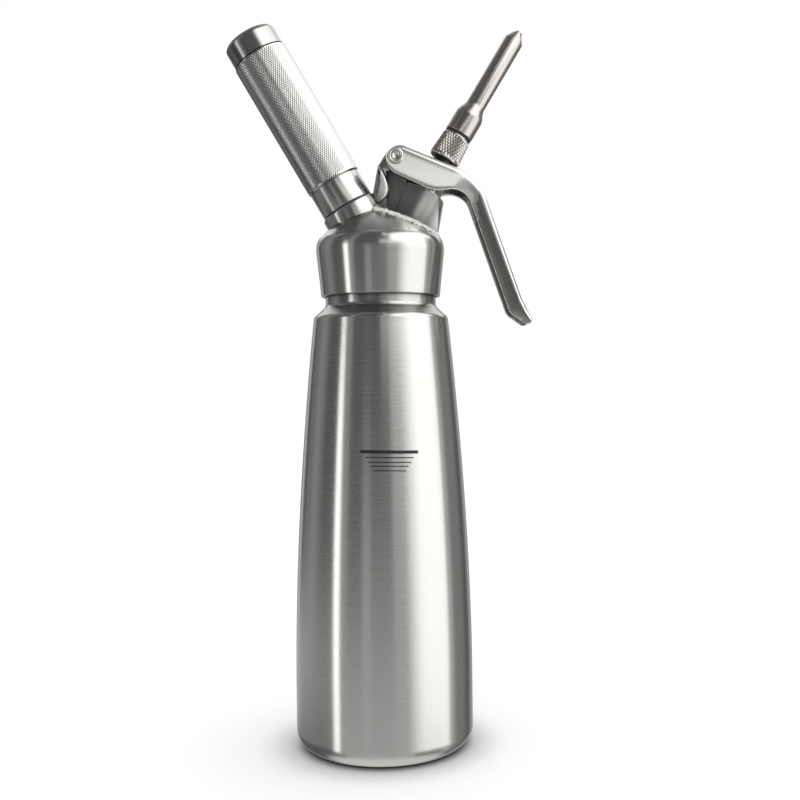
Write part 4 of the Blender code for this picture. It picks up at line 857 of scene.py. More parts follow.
def close_rings(bm, first, outline, last):
    """Bridges from the last ring of a wall through an outline of (radius, height) back to its first."""
    rings = [last]
    for radius, height in outline:
        circle = arc((0, 0), radius, 0, math.tau, len(first))[:-1]
        rings.append([bm.verts.new((x, y, height)) for x, y in circle])
    bridged(bm, rings + [first])


def knurled_ring(name, count, low, high, radius_low, radius_high, depth, inner, place):
    """A knurled sleeve with the plain outline that closes it on the inside."""
    bm = bmesh.new()
    first, last = knurled_wall(bm, count, low, high, radius_low, radius_high, depth)
    close_rings(bm, first, inner, last)
    return object_from(name, bm, place, KNURL_SHARP_ANGLE)


def build_adapter(material):
    """Coarsely knurled ring on the stem, with the spigot that carries the tip."""
    edge = ADAPTER_EDGE
    socket = STEM_RADIUS + SEAT_GAP
    spigot_top = ADAPTER_TOP + ADAPTER_SPIGOT_LENGTH
    inner = [
        (ADAPTER_TOP_RADIUS - edge, ADAPTER_TOP),
        (ADAPTER_SPIGOT_RADIUS, ADAPTER_TOP),
        (ADAPTER_SPIGOT_RADIUS, spigot_top - edge),
        (ADAPTER_SPIGOT_RADIUS - edge, spigot_top),
        (STEM_BORE_RADIUS, spigot_top),
        (STEM_BORE_RADIUS, STEM_TOP + SEAT_GAP),
        (socket, STEM_TOP + SEAT_GAP),
        (socket, ADAPTER_FOOT),
        (ADAPTER_FOOT_RADIUS - edge, ADAPTER_FOOT),
    ]
    adapter = knurled_ring(
        "knurled_adapter", ADAPTER_KNURL_COUNT, ADAPTER_FOOT + edge, ADAPTER_TOP - edge,
        ADAPTER_FOOT_RADIUS, ADAPTER_TOP_RADIUS, ADAPTER_KNURL_DEPTH, inner, NOZZLE_PLACE,
    )
    dress(adapter, material, "dark_steel", "adapter", "nozzle_adapter")


def build_washers(material):
    """The seal between adapter and tip, and the ring under the adapter's foot."""
    low = ADAPTER_TOP + SEAT_GAP
    inner = ADAPTER_SPIGOT_RADIUS + SEAT_GAP
    outer = ADAPTER_TOP_RADIUS - SEAT_GAP
    high = low + WASHER_THICKNESS
    outline = eased([(inner, low), (outer, low, WASHER_EDGE), (outer, high, WASHER_EDGE), (inner, high)])
    washer = lathe("seal_washer", outline, SMALL_FACETS, NOZZLE_PLACE)
    dress(washer, material, "silicone", "adapter", "tip_washer")
    inner = STEM_RADIUS + SEAT_GAP
    outer = ADAPTER_FOOT_RADIUS - 2 * SEAT_GAP
    high = ADAPTER_FOOT + FOOT_WASHER_THICKNESS / 3
    low = high - FOOT_WASHER_THICKNESS
    outline = eased([(inner, low), (outer, low, FOOT_WASHER_EDGE), (outer, high, WASHER_EDGE), (inner, high)])
    washer = lathe("foot_washer", outline, SMALL_FACETS, NOZZLE_PLACE)
    dress(washer, material, "silicone", "adapter")


def build_tip(material):
    """Stainless decorating tip: flared foot, smooth shoulder, straight tube and a slit tulip end."""
    foot = ADAPTER_TOP + 2 * SEAT_GAP + WASHER_THICKNESS
    shoulder_low = foot + TIP_FOOT_LENGTH
    shoulder_high = shoulder_low + TIP_SHOULDER_LENGTH
    end = foot + TIP_LENGTH
    cone = end - TIP_CONE_LENGTH
    socket = ADAPTER_SPIGOT_RADIUS + SEAT_GAP
    edge = ADAPTER_EDGE
    outer = arc((TIP_FOOT_RADIUS - edge, foot + edge), edge, -math.pi / 2, 0, CORNER_STEPS)
    for i in range(TIP_SHOULDER_STEPS + 1):
        share = i / TIP_SHOULDER_STEPS
        blend = (1 - math.cos(math.pi * share)) / 2
        radius = TIP_FOOT_RADIUS + (TIP_TUBE_RADIUS - TIP_FOOT_RADIUS) * blend
        outer.append((radius, shoulder_low + (shoulder_high - shoulder_low) * share))
    for i in range(TIP_CONE_STEPS + 1):
        share = i / TIP_CONE_STEPS
        radius = TIP_TUBE_RADIUS - (TIP_TUBE_RADIUS - TIP_END_RADIUS) * share**TIP_CONE_POWER
        outer.append((radius, cone + (end - cone) * share))
    bore = TIP_TUBE_RADIUS - TIP_WALL
    inner = [
        (TIP_END_RADIUS - TIP_WALL, end),
        (bore, cone),
        (bore, shoulder_high),
        (socket, foot + TIP_SOCKET_DEPTH),
        (socket, foot),
    ]
    tip = lathe("tulip_tip", outer + inner, SMALL_FACETS, NOZZLE_PLACE)
    reach = TIP_TUBE_RADIUS + CUT_OVERRUN
    half = TIP_SLIT_WIDTH / 2
    mouth = TIP_SLIT_MOUTH / 2
    for number in range(TIP_SLITS):
        box = [(-half, end - TIP_SLIT_DEPTH), (half, end - TIP_SLIT_DEPTH)]
        box += [(mouth, end), (mouth, end + CUT_OVERRUN), (-mouth, end + CUT_OVERRUN), (-mouth, end)]
        turn = Matrix.Rotation(math.tau / TIP_SLITS * number + TIP_SLIT_TURN, 4, "Z")
        slit = prism(f"slit_{number}", box, -reach, TIP_SLIT_INNER, NOZZLE_PLACE @ turn)
        combine(tip, [slit], "DIFFERENCE")
    dress(tip, material, "dark_steel", "tip", "nozzle_tip")


def build_holder(polished, knurled):
    """Holder tube with its smooth collar, the knurled grip round it and the round-edged cap."""
    foot = INLET_BOSS_TOP + SEAT_GAP
    collar_top = foot + COLLAR_LENGTH
    grip_low = collar_top + SEAT_GAP
    grip_high = grip_low + GRIP_LENGTH
    mouth = NIPPLE_RADIUS + NECK_CLEARANCE
    thread_top = foot + NIPPLE_LENGTH + SEAT_GAP
    tube = eased([
        (mouth, foot, HOLDER_MOUTH_EDGE),
        (COLLAR_RADIUS, foot, COLLAR_EDGE),
        (COLLAR_RADIUS, collar_top),
        (HOLDER_TUBE_RADIUS, collar_top),
        (HOLDER_TUBE_RADIUS, grip_high),
        (HOLDER_BORE_RADIUS, grip_high),
        (HOLDER_BORE_RADIUS, thread_top + mouth - HOLDER_BORE_RADIUS),
        (mouth, thread_top),
    ])
    collar = lathe("collar_tube", tube, BODY_FACETS, HOLDER_PLACE)
    dress(collar, polished, "polished_steel", "holder", "holder_tube")
    bore = HOLDER_TUBE_RADIUS + SEAT_GAP
    rim = GRIP_RADIUS - GRIP_EDGE
    inner = [(rim, grip_high), (bore, grip_high), (bore, grip_low), (rim, grip_low)]
    grip = knurled_ring(
        "knurled_grip", GRIP_KNURL_COUNT, grip_low + GRIP_EDGE, grip_high - GRIP_EDGE,
        GRIP_RADIUS, GRIP_RADIUS, GRIP_KNURL_DEPTH, inner, HOLDER_PLACE,
    )
    dress(grip, knurled, "knurled_steel", "holder", "holder_grip")
    cap_low = grip_high + SEAT_GAP
    cap_high = cap_low + CAP_LENGTH
    plug = HOLDER_BORE_RADIUS - SEAT_GAP
    cap = [(0, cap_low), (plug, cap_low - CAP_PLUG_DEPTH), (plug, cap_low), (CAP_RADIUS, cap_low)]
    cap += arc((CAP_RADIUS - CAP_EDGE, cap_high - CAP_EDGE), CAP_EDGE, 0, math.pi / 2, CORNER_STEPS * 3)
    cap.append((0, cap_high + CAP_DOME))
    end_cap = lathe("end_cap", cap, BODY_FACETS, HOLDER_PLACE)
    dress(end_cap, polished, "polished_steel", "holder", "holder_cap")


def line_through(point, direction):
    return Vector(point), Vector(direction).normalized()


def meet(first, second):
    """Where two lines in a plane cross."""
    (p, d), (q, e) = first, second
    cross = d.x * e.y - d.y * e.x
    along = ((q.x - p.x) * e.y - (q.y - p.y) * e.x) / cross
    return p + d * along


def evened(path, count):
    """Points at equal steps along a path."""
    lengths = [(b - a).length for a, b in zip(path, path[1:])]
    step = sum(lengths) / (count - 1)
    points = [path[0]]
    walked = 0.0
    for (a, b), length in zip(zip(path, path[1:]), lengths):
        while len(points) < count - 1 and walked + length >= step * len(points):
            points.append(a.lerp(b, (step * len(points) - walked) / length))
        walked += length
    points.append(path[-1])
    return points


def lever_lines():
    """The straight lines that the lever's outline follows, in the X and Z of the pivot."""
    arm = Vector((math.cos(ARM_SLOPE), -math.sin(ARM_SLOPE)))
    arm_normal = Vector((math.sin(ARM_SLOPE), math.cos(ARM_SLOPE)))
    handle = Vector((math.sin(HANDLE_SLOPE), -math.cos(HANDLE_SLOPE)))
    handle_normal = Vector((math.cos(HANDLE_SLOPE), math.sin(HANDLE_SLOPE)))
    knee = arm_normal * ARM_TOP_OFFSET + arm * ARM_LENGTH
    flare_start = knee + handle * HANDLE_RUN
    flare = Vector((math.sin(TIP_FLARE_SLOPE), -math.cos(TIP_FLARE_SLOPE)))
    plate_normal = Vector((math.sin(PLATE_EDGE_SLOPE), math.cos(PLATE_EDGE_SLOPE)))
    sill_normal = Vector((-math.sin(SILL_SLOPE), math.cos(SILL_SLOPE)))
    inner = flare_start - handle_normal * HANDLE_DEPTH
    cut_start = inner + handle * TIP_CUT_DROP
    return {
        "end": line_through((-ARM_END_REACH, 0), (0, 1)),
        "arm": line_through(arm_normal * ARM_TOP_OFFSET, arm),
        "handle": line_through(knee, handle),
        "flare": line_through(flare_start, flare),
        "plate": line_through(-plate_normal * PLATE_EDGE_OFFSET, (plate_normal.y, -plate_normal.x)),
        "sill": line_through(-sill_normal * SILL_OFFSET, (sill_normal.y, -sill_normal.x)),
        "inner": line_through(inner, handle),
        "cut": line_through(cut_start, (math.cos(TIP_CUT_SLOPE), -math.sin(TIP_CUT_SLOPE))),
    }


def lever_paths():
    """Back and free edge of the lever from the pivot's end to the finger end, in matching zones."""
    lines = lever_lines()
    end_top = meet(lines["end"], lines["arm"])
    knee = meet(lines["arm"], lines["handle"])
    flare = meet(lines["handle"], lines["flare"])
    tip = meet(lines["flare"], lines["cut"])
    end_low = meet(lines["end"], lines["plate"])
    heel = meet(lines["plate"], lines["sill"])
    crook = meet(lines["sill"], lines["inner"])
    cut = meet(lines["inner"], lines["cut"])
    start = Vector((-ARM_END_REACH, 0))
    back_end = rounded_corner(start, end_top, knee, ARM_END_ROUND, 40)
    back_knee = rounded_corner(end_top, knee, flare, KNEE_ROUND, 60)
    back_flare = rounded_corner(knee, flare, tip, TIP_FLARE_ROUND, 16)
    tip_turn = rounded_corner(flare, tip, cut, TIP_ROUND, 2 * TIP_TURN_HALF)
    edge_end = rounded_corner(start, end_low, heel, PLATE_CORNER_ROUND, 40)
    edge_heel = rounded_corner(end_low, heel, crook, HEEL_ROUND, 30)
    edge_crook = rounded_corner(heel, crook, cut, CROOK_ROUND, 40)
    edge_cut = rounded_corner(crook, cut, tip, FINGER_END_ROUND, 20)
    back = [
        back_end,
        [back_end[-1], back_knee[0]],
        back_knee,
        [back_knee[-1], back_flare[0]],
        back_flare + tip_turn[:TIP_TURN_HALF],
    ]
    edge = [
        edge_end,
        [edge_end[-1]] + edge_heel + [edge_crook[0]],
        edge_crook,
        [edge_crook[-1], edge_cut[0]],
        edge_cut + tip_turn[:TIP_TURN_HALF:-1],
    ]
    counts = LEVER_ZONE_POINTS
    return (
        [evened(path, count) for path, count in zip(back, counts)],
        [evened(path, count) for path, count in zip(edge, counts)],
    )


def lever_stations():
    """Back point, free edge point, handle share and how far the channel has closed at the finger end."""
    back, edge = lever_paths()
    stations = []
    for zone, (backs, edges) in enumerate(zip(back, edge)):
        for i, (outer, free) in enumerate(zip(backs, edges)):
            if zone and not i:
                continue
            along = i / (len(backs) - 1)
            handle_share = {0: 0.0, 1: 0.0, 2: along}.get(zone, 1.0)
            smooth = handle_share * handle_share * (3 - 2 * handle_share)
            closing = max(along - TIP_WEB_START, 0) / (1 - TIP_WEB_START) if zone == 4 else 0.0
            stations.append((outer, free, smooth, closing))
    return stations


def channel_half(depth, share, inset, floor):
    """Half of the channel's outer or inner line: its bend, its side and its free edge."""
    width = LEVER_HALF_WIDTH + (HANDLE_HALF_WIDTH - LEVER_HALF_WIDTH) * share - inset
    room = (depth - floor) * LARGEST_ROUND_SHARE
    bend = min(max(LEVER_BEND - inset, LEVER_SHEET / 3), room)
    sweep = math.pi / 2 * (1 - HANDLE_CREST_SHARE * share)
    turns = (sweep * i / CHANNEL_BEND_STEPS for i in range(CHANNEL_BEND_STEPS + 1))
    points = [(floor + bend * (1 - math.cos(turn)), width - bend * (1 - math.sin(turn))) for turn in turns]
    start, reach = points[-1]
    side = []
    plain, bent = CHANNEL_LIP_SHARES
    for i in range(1, CHANNEL_SIDE_STEPS):
        along = i / CHANNEL_SIDE_STEPS
        place = start + (depth - start) * along * CHANNEL_SIDE_SHARE
        side.append((place, reach - HANDLE_LIP_INSET * share * along * (plain + bent * along)))
    return points, side, (depth, reach - HANDLE_LIP_INSET * share)


def lever_section(outer, free, share, closing):
    """A ring round the channel's section at one station, with rounded free edges."""
    depth = (free - outer).length
    inward = (free - outer) / depth
    floor = max(min(LEVER_SHEET, depth * LARGEST_ROUND_SHARE), depth * CHANNEL_CLOSED_SHARE * closing)
    out_bend, out_side, out_edge = channel_half(depth, share, 0, 0)
    in_bend, in_side, in_edge = channel_half(depth, share, LEVER_SHEET, floor)
    half = (out_edge[1] - in_edge[1]) / 2
    round_depth = min(half, (depth - max(out_side[-1][0], in_side[-1][0])) * CHANNEL_EDGE_SHARE)
    middle = (out_edge[1] + in_edge[1]) / 2
    lip = [
        (depth - round_depth * (1 - math.sin(turn)), middle + half * math.cos(turn))
        for turn in (math.pi * i / CHANNEL_LIP_STEPS for i in range(CHANNEL_LIP_STEPS + 1))
    ]
    far = out_bend + out_side + lip + in_side[::-1] + in_bend[::-1]
    points = []
    for d, y in far + [(d, -y) for d, y in reversed(far)]:
        place = outer + inward * d
        points.append((place.x, y, place.y))
    return points


def arm_place_on_stem():
    """Where the lever's web lies on the nozzle axis: its upper face, measured along the axis."""
    normal = Vector((math.sin(ARM_SLOPE), 0, math.cos(ARM_SLOPE)))
    top = PIVOT + normal * ARM_TOP_OFFSET
    direction = Vector((math.sin(NOZZLE_TILT), 0, math.cos(NOZZLE_TILT)))
    return (top - Vector((0, 0, NOZZLE_START))).dot(normal) / direction.dot(normal)


def lever_cutters():
    """Gap over the lug, the stem's long hole and the pin's holes."""
    half_width = LEVER_HALF_WIDTH - LEVER_SHEET + FORK_RELIEF
    low = -ARM_END_REACH - CUT_OVERRUN
    foot = -SILL_OFFSET - CUT_OVERRUN
    top = ARM_TOP_OFFSET + CUT_OVERRUN
    fork = [(low, foot), (FORK_DEPTH, foot), (FORK_DEPTH, top), (low, top)]
    centre = NOZZLE_PLACE @ Vector((0, 0, arm_place_on_stem()))
    outline = arc((0, 0), STEM_SLOT_RADIUS, -math.pi / 2, math.pi / 2, EYE_STEPS)
    outline += arc((-STEM_SLOT_TRAVEL, 0), STEM_SLOT_RADIUS, math.pi / 2, 3 * math.pi / 2, EYE_STEPS)
    rings = [[(x, y, z) for x, y in outline] for z in (-CUT_OVERRUN, CUT_OVERRUN)]
    slot_place = Matrix.Translation(centre) @ Matrix.Rotation(ARM_SLOPE, 4, "Y")
    return [
        prism("lever_fork", fork, -half_width, half_width, PIVOT_PLACE),
        lofted("stem_slot", rings, slot_place),
        cross_bore("lever_pin_holes", LEVER_HALF_WIDTH + CUT_OVERRUN),
    ]


def build_lever(material, inside):
    """Pressed channel lever: forked end round the lug, plate over the valve, long finger handle."""
    stations = [station for station in lever_stations() if (station[1] - station[0]).length > WELD]
    sections = [lever_section(*station) for station in stations]
    lever = lofted("channel_lever", sections, PIVOT_PLACE)
    combine(lever, lever_cutters(), "DIFFERENCE")
    dress(lever, material, "polished_steel", "lever", "lever")
    # The handle's flat sides, outer and inner alike, facing along Y, take the second and darker steel.
    lever.data.materials.append(inside)
    for face in lever.data.polygons:
        deep = face.center.x > DARKER_SIDES_X and face.center.z < LAND_HEIGHT + DARKER_SIDES_RISE
        if deep and abs(face.normal.y) > DARKER_SIDES_TURN:
            face.material_index = 1


def build_pin(material):
    """Riveted pin: its head is a raised ring round a hollow."""
    face = LEVER_HALF_WIDTH + SEAT_GAP
    tail = face + RETAINER_THICKNESS + SEAT_GAP + PIN_TAIL
    ring_middle = (PIN_HEAD_RADIUS + PIN_DIMPLE_RADIUS) / 2
    ring_half = (PIN_HEAD_RADIUS - PIN_DIMPLE_RADIUS) / 2
    middle_share, centre_share = PIN_DIMPLE_SHARES
    outline = [(0, -face - PIN_HEAD_HEIGHT * middle_share)]
    outline += arc((0, -face - PIN_HEAD_HEIGHT * centre_share), PIN_DIMPLE_RADIUS, *PIN_DIMPLE_TURNS, 8)
    crown = arc((ring_middle, -face - PIN_HEAD_HEIGHT + ring_half), ring_half, -math.pi, 0, 12)
    outline += [point for point in crown if point[0] > outline[-1][0]]
    outline += [(PIN_HEAD_RADIUS, -face), (PIN_SHAFT_RADIUS, -face), (PIN_SHAFT_RADIUS, tail), (0, tail)]
    pin = lathe("riveted_pin", outline, SMALL_FACETS, PIN_PLACE)
    dress(pin, material, "polished_steel", "head", "pivot_pin")


# Where a noise pattern's values mostly lie, and how strong a relief made from it is
GRAIN_LOW = 0.3
GRAIN_HIGH = 0.7
RELIEF_STRENGTH = 0.6
ALONG_AXIS = 0.25
# Heights between which the painted shade of hollows sets in, and how deep it is
SHADE_START = 0.10
SHADE_FULL = 0.15
SHADE_DEPTH = 1.25
# How steeply a face looks down where the shade painted on undersides sets in and is full
UNDERSIDE_SHADE_START = -0.06
UNDERSIDE_SHADE_FULL = -0.30


class Nodes:
    """Short calls for one material's node tree."""

    def __init__(self, name, tilt=0.0, foot=0.0):
        self.tilt, self.foot = tilt, foot
        self.material = bpy.data.materials.new(name)
        self.material.use_nodes = True
        self.tree = self.material.node_tree
        self.shader = self.tree.nodes["Principled BSDF"]

    def add(self, kind, **settings):
        node = self.tree.nodes.new(kind)
        for key, value in settings.items():
            setattr(node, key, value)
        return node

    def link(self, source, target):
        self.tree.links.new(source, target)

    def grain(self, scale, detail=2.0):
        """Noise of so many grains a metre along (x, y, z) of the axis that carries the piece."""
        coordinates = self.add("ShaderNodeTexCoord")
        mapping = self.add("ShaderNodeMapping", vector_type="TEXTURE")
        mapping.inputs["Location"].default_value = (0, 0, self.foot)
        mapping.inputs["Rotation"].default_value = (0, self.tilt, 0)
        mapping.inputs["Scale"].default_value = [1 / grains for grains in scale]
        pattern = self.add("ShaderNodeTexNoise")
        pattern.inputs["Scale"].default_value = 1.0
        pattern.inputs["Detail"].default_value = detail
        self.link(coordinates.outputs["Object"], mapping.inputs["Vector"])
        self.link(mapping.outputs["Vector"], pattern.inputs["Vector"])
        return pattern.outputs["Fac"]

    def ranged(self, source, low, high, start=GRAIN_LOW, end=GRAIN_HIGH, interpolation="LINEAR"):
        """Maps a value between start and end to low and high."""
        node = self.add("ShaderNodeMapRange", interpolation_type=interpolation)
        node.inputs["From Min"].default_value = start
        node.inputs["From Max"].default_value = end
        node.inputs["To Min"].default_value = low
        node.inputs["To Max"].default_value = high
        self.link(source, node.inputs["Value"])
        return node.outputs["Result"]

    def tinted(self, source, dark, light):
        node = self.add("ShaderNodeMix", data_type="RGBA")
        node.inputs["A"].default_value = (*dark, 1)
        node.inputs["B"].default_value = (*light, 1)
        self.link(source, node.inputs["Factor"])
        self.link(node.outputs["Result"], self.shader.inputs["Base Color"])

    def axes(self, vector=None):
        """The X, Y and Z of a vector, which is the place on the object unless another is given."""
        split = self.add("ShaderNodeSeparateXYZ")
        self.link(vector or self.add("ShaderNodeTexCoord").outputs["Object"], split.inputs["Vector"])
        return split.outputs

    def openness(self, reach):
        """1 where nothing is near, down to 0 in deep hollows."""
        shade = self.add("ShaderNodeAmbientOcclusion")
        shade.inputs["Distance"].default_value = reach
        return shade.outputs["AO"]

    def darkened(self, factor):
        """Paints shade: multiplies the colour by a factor that varies over the surface."""
        colour = self.shader.inputs["Base Color"]
        node = self.add("ShaderNodeMix", data_type="RGBA")
        node.inputs["A"].default_value = (0, 0, 0, 1)
        self.link(colour.links[0].from_socket, node.inputs["B"])
        self.link(factor, node.inputs["Factor"])
        self.link(node.outputs["Result"], colour)

    def paint_hollow_shade(self, reach):
        """Paints shade into the colour of hollows and what overhangs them, from the shoulder upwards."""
        base = self.ranged(self.axes()["Z"], 1, 0, SHADE_START, SHADE_FULL)
        hollow = self.calculate("POWER", self.openness(reach), SHADE_DEPTH)
        self.darkened(self.calculate("MAXIMUM", hollow, base))

    def shaded_below(self, dark):
        """Paints shade onto what faces down, darkening its colour."""
        facing = self.axes(self.add("ShaderNodeNewGeometry").outputs["Normal"])
        self.darkened(self.ranged(facing["Z"], dark, 1, UNDERSIDE_SHADE_FULL, UNDERSIDE_SHADE_START))

    def calculate(self, operation, first, second=None):
        node = self.add("ShaderNodeMath", operation=operation)
        for socket, value in zip(node.inputs, (first, second)):
            if isinstance(value, (int, float)):
                socket.default_value = value
            elif value is not None:
                self.link(value, socket)
        return node.outputs["Value"]

    def window(self, source, edges):
        """1 between the second and third edge, fading to 0 at the first and last."""
        rise = self.ranged(source, 0, 1, edges[0], edges[1], "SMOOTHSTEP")
        fall = self.ranged(source, 1, 0, edges[2], edges[3], "SMOOTHSTEP")
        return self.calculate("MULTIPLY", rise, fall)

    def glow(self, strength):
        """Turns the material into a plain white light of this strength."""
        emission = self.add("ShaderNodeEmission")
        if isinstance(strength, (int, float)):
            emission.inputs["Strength"].default_value = strength
        else:
            self.link(strength, emission.inputs["Strength"])
        self.link(emission.outputs["Emission"], self.tree.nodes["Material Output"].inputs["Surface"])
        self.tree.nodes.remove(self.shader)
        self.material.cycles.emission_sampling = "NONE"
        return emission.outputs["Emission"]

    def bumped(self, source, strength, distance):
        node = self.add("ShaderNodeBump")
        node.inputs["Strength"].default_value = strength
        node.inputs["Distance"].default_value = distance
        self.link(source, node.inputs["Height"])
        self.link(node.outputs["Normal"], self.shader.inputs["Normal"])

    def brushed_round(self, amount):
        """Highlights drawn out along the axis that carries the piece, as brushing round it does."""
        coordinates = self.add("ShaderNodeTexCoord")
        offset = self.add("ShaderNodeVectorMath", operation="SUBTRACT")
        offset.inputs[1].default_value = (0, 0, self.foot)
        around = self.add("ShaderNodeVectorMath", operation="CROSS_PRODUCT")
        around.inputs[0].default_value = (math.sin(self.tilt), 0, math.cos(self.tilt))
        turned = self.add("ShaderNodeVectorTransform", convert_from="OBJECT", convert_to="WORLD")
        self.link(coordinates.outputs["Object"], offset.inputs[0])
        self.link(offset.outputs["Vector"], around.inputs[1])
        self.link(around.outputs["Vector"], turned.inputs["Vector"])
        self.link(turned.outputs["Vector"], self.shader.inputs["Tangent"])
        self.shader.inputs["Anisotropic"].default_value = amount
        self.shader.inputs["Anisotropic Rotation"].default_value = ALONG_AXIS


def shaded(colour, factor):
    return tuple(min(channel * factor, 1.0) for channel in colour)


def metal(
    name, colour, roughness, grain, spread, variation,
    brushing=0, bump=0, axis=(0, 0), reach=0, below=1,
):
    """Steel or brass with a grain in its colour and roughness, a hair of relief, and shade painted into
    hollows and onto undersides where asked.
    """
    nodes = Nodes(name, *axis)
    nodes.shader.inputs["Metallic"].default_value = 1.0
    pattern = nodes.grain(grain)
    rough = nodes.ranged(pattern, roughness - spread, roughness + spread)
    nodes.link(rough, nodes.shader.inputs["Roughness"])
    nodes.tinted(pattern, shaded(colour, 1 - variation), shaded(colour, 1 + variation))
    # Painted shade in hollows, from the shoulder upwards.
    if reach:
        nodes.paint_hollow_shade(reach)
    # Painted shade: faces that look down get a darker colour, down to this factor.
    if below < 1:
        nodes.shaded_below(below)
    if brushing:
        nodes.brushed_round(brushing)
    if bump:
        nodes.bumped(pattern, RELIEF_STRENGTH, bump)
    return nodes.material


def matte(name, colour, roughness, grain, spread, variation):
    """Rubber, print or plastic with a faint mottle."""
    nodes = Nodes(name)
    pattern = nodes.grain(grain)
    rough = nodes.ranged(pattern, roughness - spread, roughness + spread)
    nodes.link(rough, nodes.shader.inputs["Roughness"])
    nodes.tinted(pattern, shaded(colour, 1 - variation), shaded(colour, 1 + variation))
    return nodes.material


# Grains a metre: fine and coarser brushing round an axis, an even cast surface, mottle and print
FINE = (60, 60, 5200)
TURNED = (60, 60, 3000)
CAST = (1500, 1500, 1500)
MOTTLE = (400, 400, 400)
INK = (2500, 2500, 2500)
ON_NOZZLE = (NOZZLE_TILT, NOZZLE_START)
ON_HOLDER = (HOLDER_TILT, HOLDER_START)
# Each slot: material name, colour, roughness, grain, how far roughness and colour vary, and what else it has
# Where given, reach paints shade into the colour of hollows, and the underside factor paints shade onto faces
# that look down.
METALS = {
    "brushed_bottle": (
        "bottle_steel", (0.66, 0.65, 0.63), 0.235, FINE, 0.04, 0.05,
        {"brushing": 0.86, "bump": 0.000004, "reach": 0.018},
    ),
    "brushed_head": (
        "head_steel", (0.66, 0.65, 0.63), 0.22, FINE, 0.03, 0.04,
        {"brushing": 0.8, "bump": 0.000004, "reach": 0.009, "below": 0.70},
    ),
    "polished_steel": (
        "holder_steel", (0.60, 0.588, 0.57), 0.20, TURNED, 0.02, 0.03,
        {"brushing": 0.25, "axis": ON_HOLDER, "below": 0.50},
    ),
    "lever_steel": ("lever_steel", (0.80, 0.785, 0.765), 0.19, CAST, 0.01, 0.01, {}),
    # A darker steel, used on the lever handle's flat sides.
    "pressed_steel": ("pressed_steel", (0.40, 0.39, 0.37), 0.24, CAST, 0.02, 0.03, {}),
    "weld": ("weld_steel", (0.88, 0.87, 0.85), 0.50, CAST, 0.08, 0.10, {}),
    "knurled_steel": ("grip_steel", (0.70, 0.69, 0.67), 0.20, CAST, 0.02, 0.03, {"below": 0.50}),
    "dark_steel": (
        "nozzle_steel", (0.56, 0.53, 0.50), 0.24, TURNED, 0.02, 0.03, {"brushing": 0.4, "axis": ON_NOZZLE},
    ),
    "adapter_steel": ("adapter_steel", (0.56, 0.53, 0.50), 0.22, CAST, 0.02, 0.03, {}),
    # Near black: painted shade on the valve stem, for the dark gap under the adapter.
    "stem_steel": (
        "stem_steel", (0.10, 0.098, 0.095), 0.40, TURNED, 0.03, 0.05, {"brushing": 0.3, "axis": ON_NOZZLE},
    ),
    "plain_steel": (
        "turned_steel", (0.62, 0.62, 0.61), 0.25, TURNED, 0.05, 0.05, {"brushing": 0.4, "axis": ON_NOZZLE},
    ),
    "spring_steel": ("spring_steel", (0.50, 0.50, 0.50), 0.30, CAST, 0.06, 0.05, {}),
    "charger_steel": ("charger_steel", (0.70, 0.70, 0.70), 0.24, CAST, 0.06, 0.05, {}),
    "brass": (
        "nipple_brass", (0.72, 0.55, 0.28), 0.26, TURNED, 0.05, 0.06, {"brushing": 0.4, "axis": ON_HOLDER},
    ),
}
MATTES = {
    "silicone": ("grey_silicone", (0.03, 0.03, 0.032), 0.55, MOTTLE, 0.08, 0.08),
    "white_plastic": ("white_plastic", (0.85, 0.85, 0.83), 0.45, MOTTLE, 0.08, 0.08),
    "print": ("black_print", (0.012, 0.012, 0.012), 0.50, INK, 0.08, 0.08),
}


def build_materials():
    made = {slot: metal(*values, **extras) for slot, (*values, extras) in METALS.items()}
    made.update({slot: matte(*values) for slot, values in MATTES.items()})
    weld = made["weld"].node_tree.nodes["Principled BSDF"]
    weld.inputs["Metallic"].default_value = WELD_METALLIC_SHARE
    return made


def dress_cad_nodes(materials):
    """The hidden and plain pieces keep their CAD mesh, with the material of their slot; the valve stem
    instead takes a near-black steel as painted shade.
    """
    for subpart in frame["record"]["subparts"]:
        node = frame["nodes"][subpart["node"]]
        node.data.materials.clear()
        node.data.materials.append(materials[subpart["material_slot"]])
    # Painted shade: the valve stem is near black so the gap under the adapter reads dark.
    stem = frame["nodes"]["valve_stem"]
    stem.data.materials.clear()
    stem.data.materials.append(materials["stem_steel"])


def build_pieces(materials):
    build_bottle(materials["brushed_bottle"])
    build_fill_mark(materials["print"])
    thread = helix_ridge(
        "neck_thread", NECK_RADIUS, THREAD_HEIGHT, THREAD_PITCH, THREAD_TURNS,
        NECK_TOP_HEIGHT - THREAD_FOOT, Matrix(), BODY_FACETS,
    )
    dress(thread, materials["brushed_bottle"], "brushed_bottle", "bottle")
    build_head(materials["brushed_head"])
    build_bead(materials["weld"])
    build_adapter(materials["adapter_steel"])
    build_washers(materials["silicone"])
    build_tip(materials["dark_steel"])
    build_holder(materials["polished_steel"], materials["knurled_steel"])
    build_lever(materials["lever_steel"], materials["pressed_steel"])
    build_pin(materials["lever_steel"])


# Studio: a white world and a white floor with a painted contact shadow, and a tent of cards and softboxes
# that only reflections see
TENT_RADIUS = 1.6
TENT_HEIGHT = 0.15
FLOOR_HALF_SIZE = 30.0
FLOOR_COLOUR = (1, 1, 1)
# The floor's painted contact shadow: how far it looks, and the openness where it is full and where it clears
PAINTED_SHADOW_REACH = 0.038
PAINTED_SHADOW_DARK = 0.05
PAINTED_SHADOW_CLEAR = 0.82
WORLD_LIGHT = 1.12
TENT_DARK = 0.11
